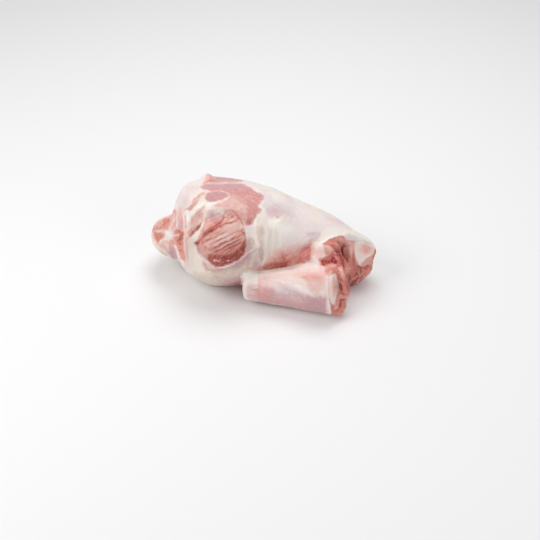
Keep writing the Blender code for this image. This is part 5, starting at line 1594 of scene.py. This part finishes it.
def shade(name, description, rgb):
    """A colour, given as sRGB from 0 to 255."""
    scene_linear = Color([part / 255 for part in rgb]).from_srgb_to_scene_linear()
    return bpy.props.FloatVectorProperty(
        name=name, description=description, default=tuple(scene_linear), min=0, max=1, size=3, subtype="COLOR"
    )


class LAMBLEG_PG_meat(bpy.types.PropertyGroup):
    """Sizes and finish of the flesh and the bones. The tones are added under it."""

    mesh_size: metres("Mesh size", "Size of the fine mesh's faces", 0.00078)
    mesh_share: fraction("Mesh share", "Share of the fine mesh's faces that is kept", 0.6, 0.1)
    smoothings: times("Smoothings", "Rounds of smoothing", 12)
    bone_mesh_size: metres("Bone mesh size", "Size of the faces on the bones", 0.0006)
    bone_smoothings: times("Bone smoothings", "Rounds of smoothing on the bones", 4)
    bone_fill: metres("Bone fill", "How far the flesh closes round the bones", 0.0003)
    bone_seat: metres("Bone seat", "How far the flesh stays back from the bones' cut ends", 0.0008)
    bone_pitting: metres("Bone pitting", "Depth of the pits on the bones", 0.00008)
    fibre_height: metres("Fibre height", "Height of the muscles' fibres", 0.00012)
    fibre_length: amount("Fibre length", "How many times longer than wide a fibre is", 9, 1)
    furrow_depth: metres("Furrow depth", "Depth of the furrows between bundles of fibres", 0.0005)
    fat_wave: metres("Fat wave", "Height of the waves in the fat", 0.00015)
    lean_contrast: amount("Lean contrast", "How strongly blended tones break up on muscle", 1.3)
    fat_contrast: amount("Fat contrast", "How strongly blended tones break up on fat", 0.8)
    roughness: fraction("Roughness", "How dull the meat is", 0.46)
    translucency: fraction("Translucency", "How much light enters the meat", 0.35)
    moisture: fraction("Moisture", "How wet the surface is", 0.07)


for tone, (description, rgb) in TONES.items():
    LAMBLEG_PG_meat.__annotations__[tone] = shade(tone.capitalize(), description, rgb)


class LAMBLEG_PG_stage(bpy.types.PropertyGroup):
    """The floor and the light."""

    floor_colour: shade("Floor", "Colour of the floor", (244, 244, 245))
    sky: amount("Sky", "Strength of the light from all round", 0.42)
    key: watts("Key light", "Power of the large light at the left", 4.3)
    top: watts("Top light", "Power of the light above", 5)
    fill: watts("Fill light", "Power of the light at the right", 1.5)


class LAMBLEG_OT_flesh(bpy.types.Operator):
    """Makes the flesh, fat and skin of the haunch and the shank"""

    bl_idname = "lambleg.flesh"
    bl_label = "Flesh and fat"

    def execute(self, context):
        settings = context.scene.lambleg_meat
        finish_piece(make_flesh(settings), meat_material(settings), "lamb_leg")
        return {"FINISHED"}


class LAMBLEG_OT_bones(bpy.types.Operator):
    """Makes the two cut bones"""

    bl_idname = "lambleg.bones"
    bl_label = "Bones"

    def execute(self, context):
        settings = context.scene.lambleg_meat
        material = bone_material(settings)
        for node, name in BONES.items():
            finish_piece(make_bone(node, name, settings), material, node)
        return {"FINISHED"}


def add_light(name, place, size, power):
    """Adds a square light that faces the leg."""
    lamp = bpy.data.lights.new(name, "AREA")
    lamp.energy = power
    lamp.size = size
    made = bpy.data.objects.new(name, lamp)
    made.location = place
    made.rotation_euler = (LOOK_AT - Vector(place)).to_track_quat("-Z", "Y").to_euler()
    bpy.context.scene.collection.objects.link(made)


def make_floor(settings):
    """The pale floor that the leg lies on."""
    plane = bmesh.new()
    bmesh.ops.create_grid(plane, x_segments=1, y_segments=1, size=FLOOR_SIZE / 2)
    floor = object_from([plane], "floor")
    made, _, shader = new_material("pale_floor")
    shader.inputs["Base Color"].default_value = (*settings.floor_colour, 1)
    shader.inputs["Roughness"].default_value = FLOOR_ROUGHNESS
    floor.data.materials.append(made)


def make_sky(settings):
    """Even white light from all round, shown as it is."""
    world = bpy.data.worlds.new("sky")
    world.use_nodes = True
    background = world.node_tree.nodes["Background"]
    background.inputs["Color"].default_value = (1, 1, 1, 1)
    background.inputs["Strength"].default_value = settings.sky
    bpy.context.scene.world = world
    bpy.context.scene.view_settings.view_transform = "Standard"


def make_camera():
    """The camera at the photograph's angle."""
    lens = bpy.data.cameras.new("camera")
    lens.sensor_width = SENSOR_WIDTH
    lens.lens = SENSOR_WIDTH * PHOTO_LENS / PHOTO_SIZE
    lens.clip_start = CLIP_START
    camera = bpy.data.objects.new("camera", lens)
    camera.location = CAMERA_PLACE
    camera.rotation_euler = (math.pi / 2 - CAMERA_DOWN, 0, 0)
    bpy.context.scene.collection.objects.link(camera)
    bpy.context.scene.camera = camera


class LAMBLEG_OT_stage(bpy.types.Operator):
    """Makes the floor, the lights and the camera"""

    bl_idname = "lambleg.stage"
    bl_label = "Stage"

    def execute(self, context):
        settings = context.scene.lambleg_stage
        make_floor(settings)
        for name, (place, size) in LIGHTS.items():
            add_light(name, place, size, getattr(settings, name))
        make_sky(settings)
        make_camera()
        return {"FINISHED"}


class LAMBLEG_PT_panel(bpy.types.Panel):
    """Lists the pieces with their sizes and colours"""

    bl_idname = "LAMBLEG_PT_panel"
    bl_label = "Lamb leg"
    bl_space_type = "VIEW_3D"
    bl_region_type = "UI"
    bl_category = "Lamb leg"

    def draw(self, context):
        layout = self.layout
        for operator in OPERATORS:
            layout.operator(operator.bl_idname)
        for group in (context.scene.lambleg_meat, context.scene.lambleg_stage):
            box = layout.box()
            for name in group.__annotations__:
                box.prop(group, name)


OPERATORS = (LAMBLEG_OT_flesh, LAMBLEG_OT_bones, LAMBLEG_OT_stage)
CLASSES = (LAMBLEG_PG_meat, LAMBLEG_PG_stage, *OPERATORS, LAMBLEG_PT_panel)


def register():
    for cls in CLASSES:
        bpy.utils.register_class(cls)
    bpy.types.Scene.lambleg_meat = bpy.props.PointerProperty(type=LAMBLEG_PG_meat)
    bpy.types.Scene.lambleg_stage = bpy.props.PointerProperty(type=LAMBLEG_PG_stage)


def unregister():
    del bpy.types.Scene.lambleg_stage
    del bpy.types.Scene.lambleg_meat
    for cls in reversed(CLASSES):
        bpy.utils.unregister_class(cls)


def main():
    register()
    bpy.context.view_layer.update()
    bpy.ops.lambleg.flesh()
    bpy.ops.lambleg.bones()
    bpy.ops.lambleg.stage()


if __name__ == "__main__":
    main()
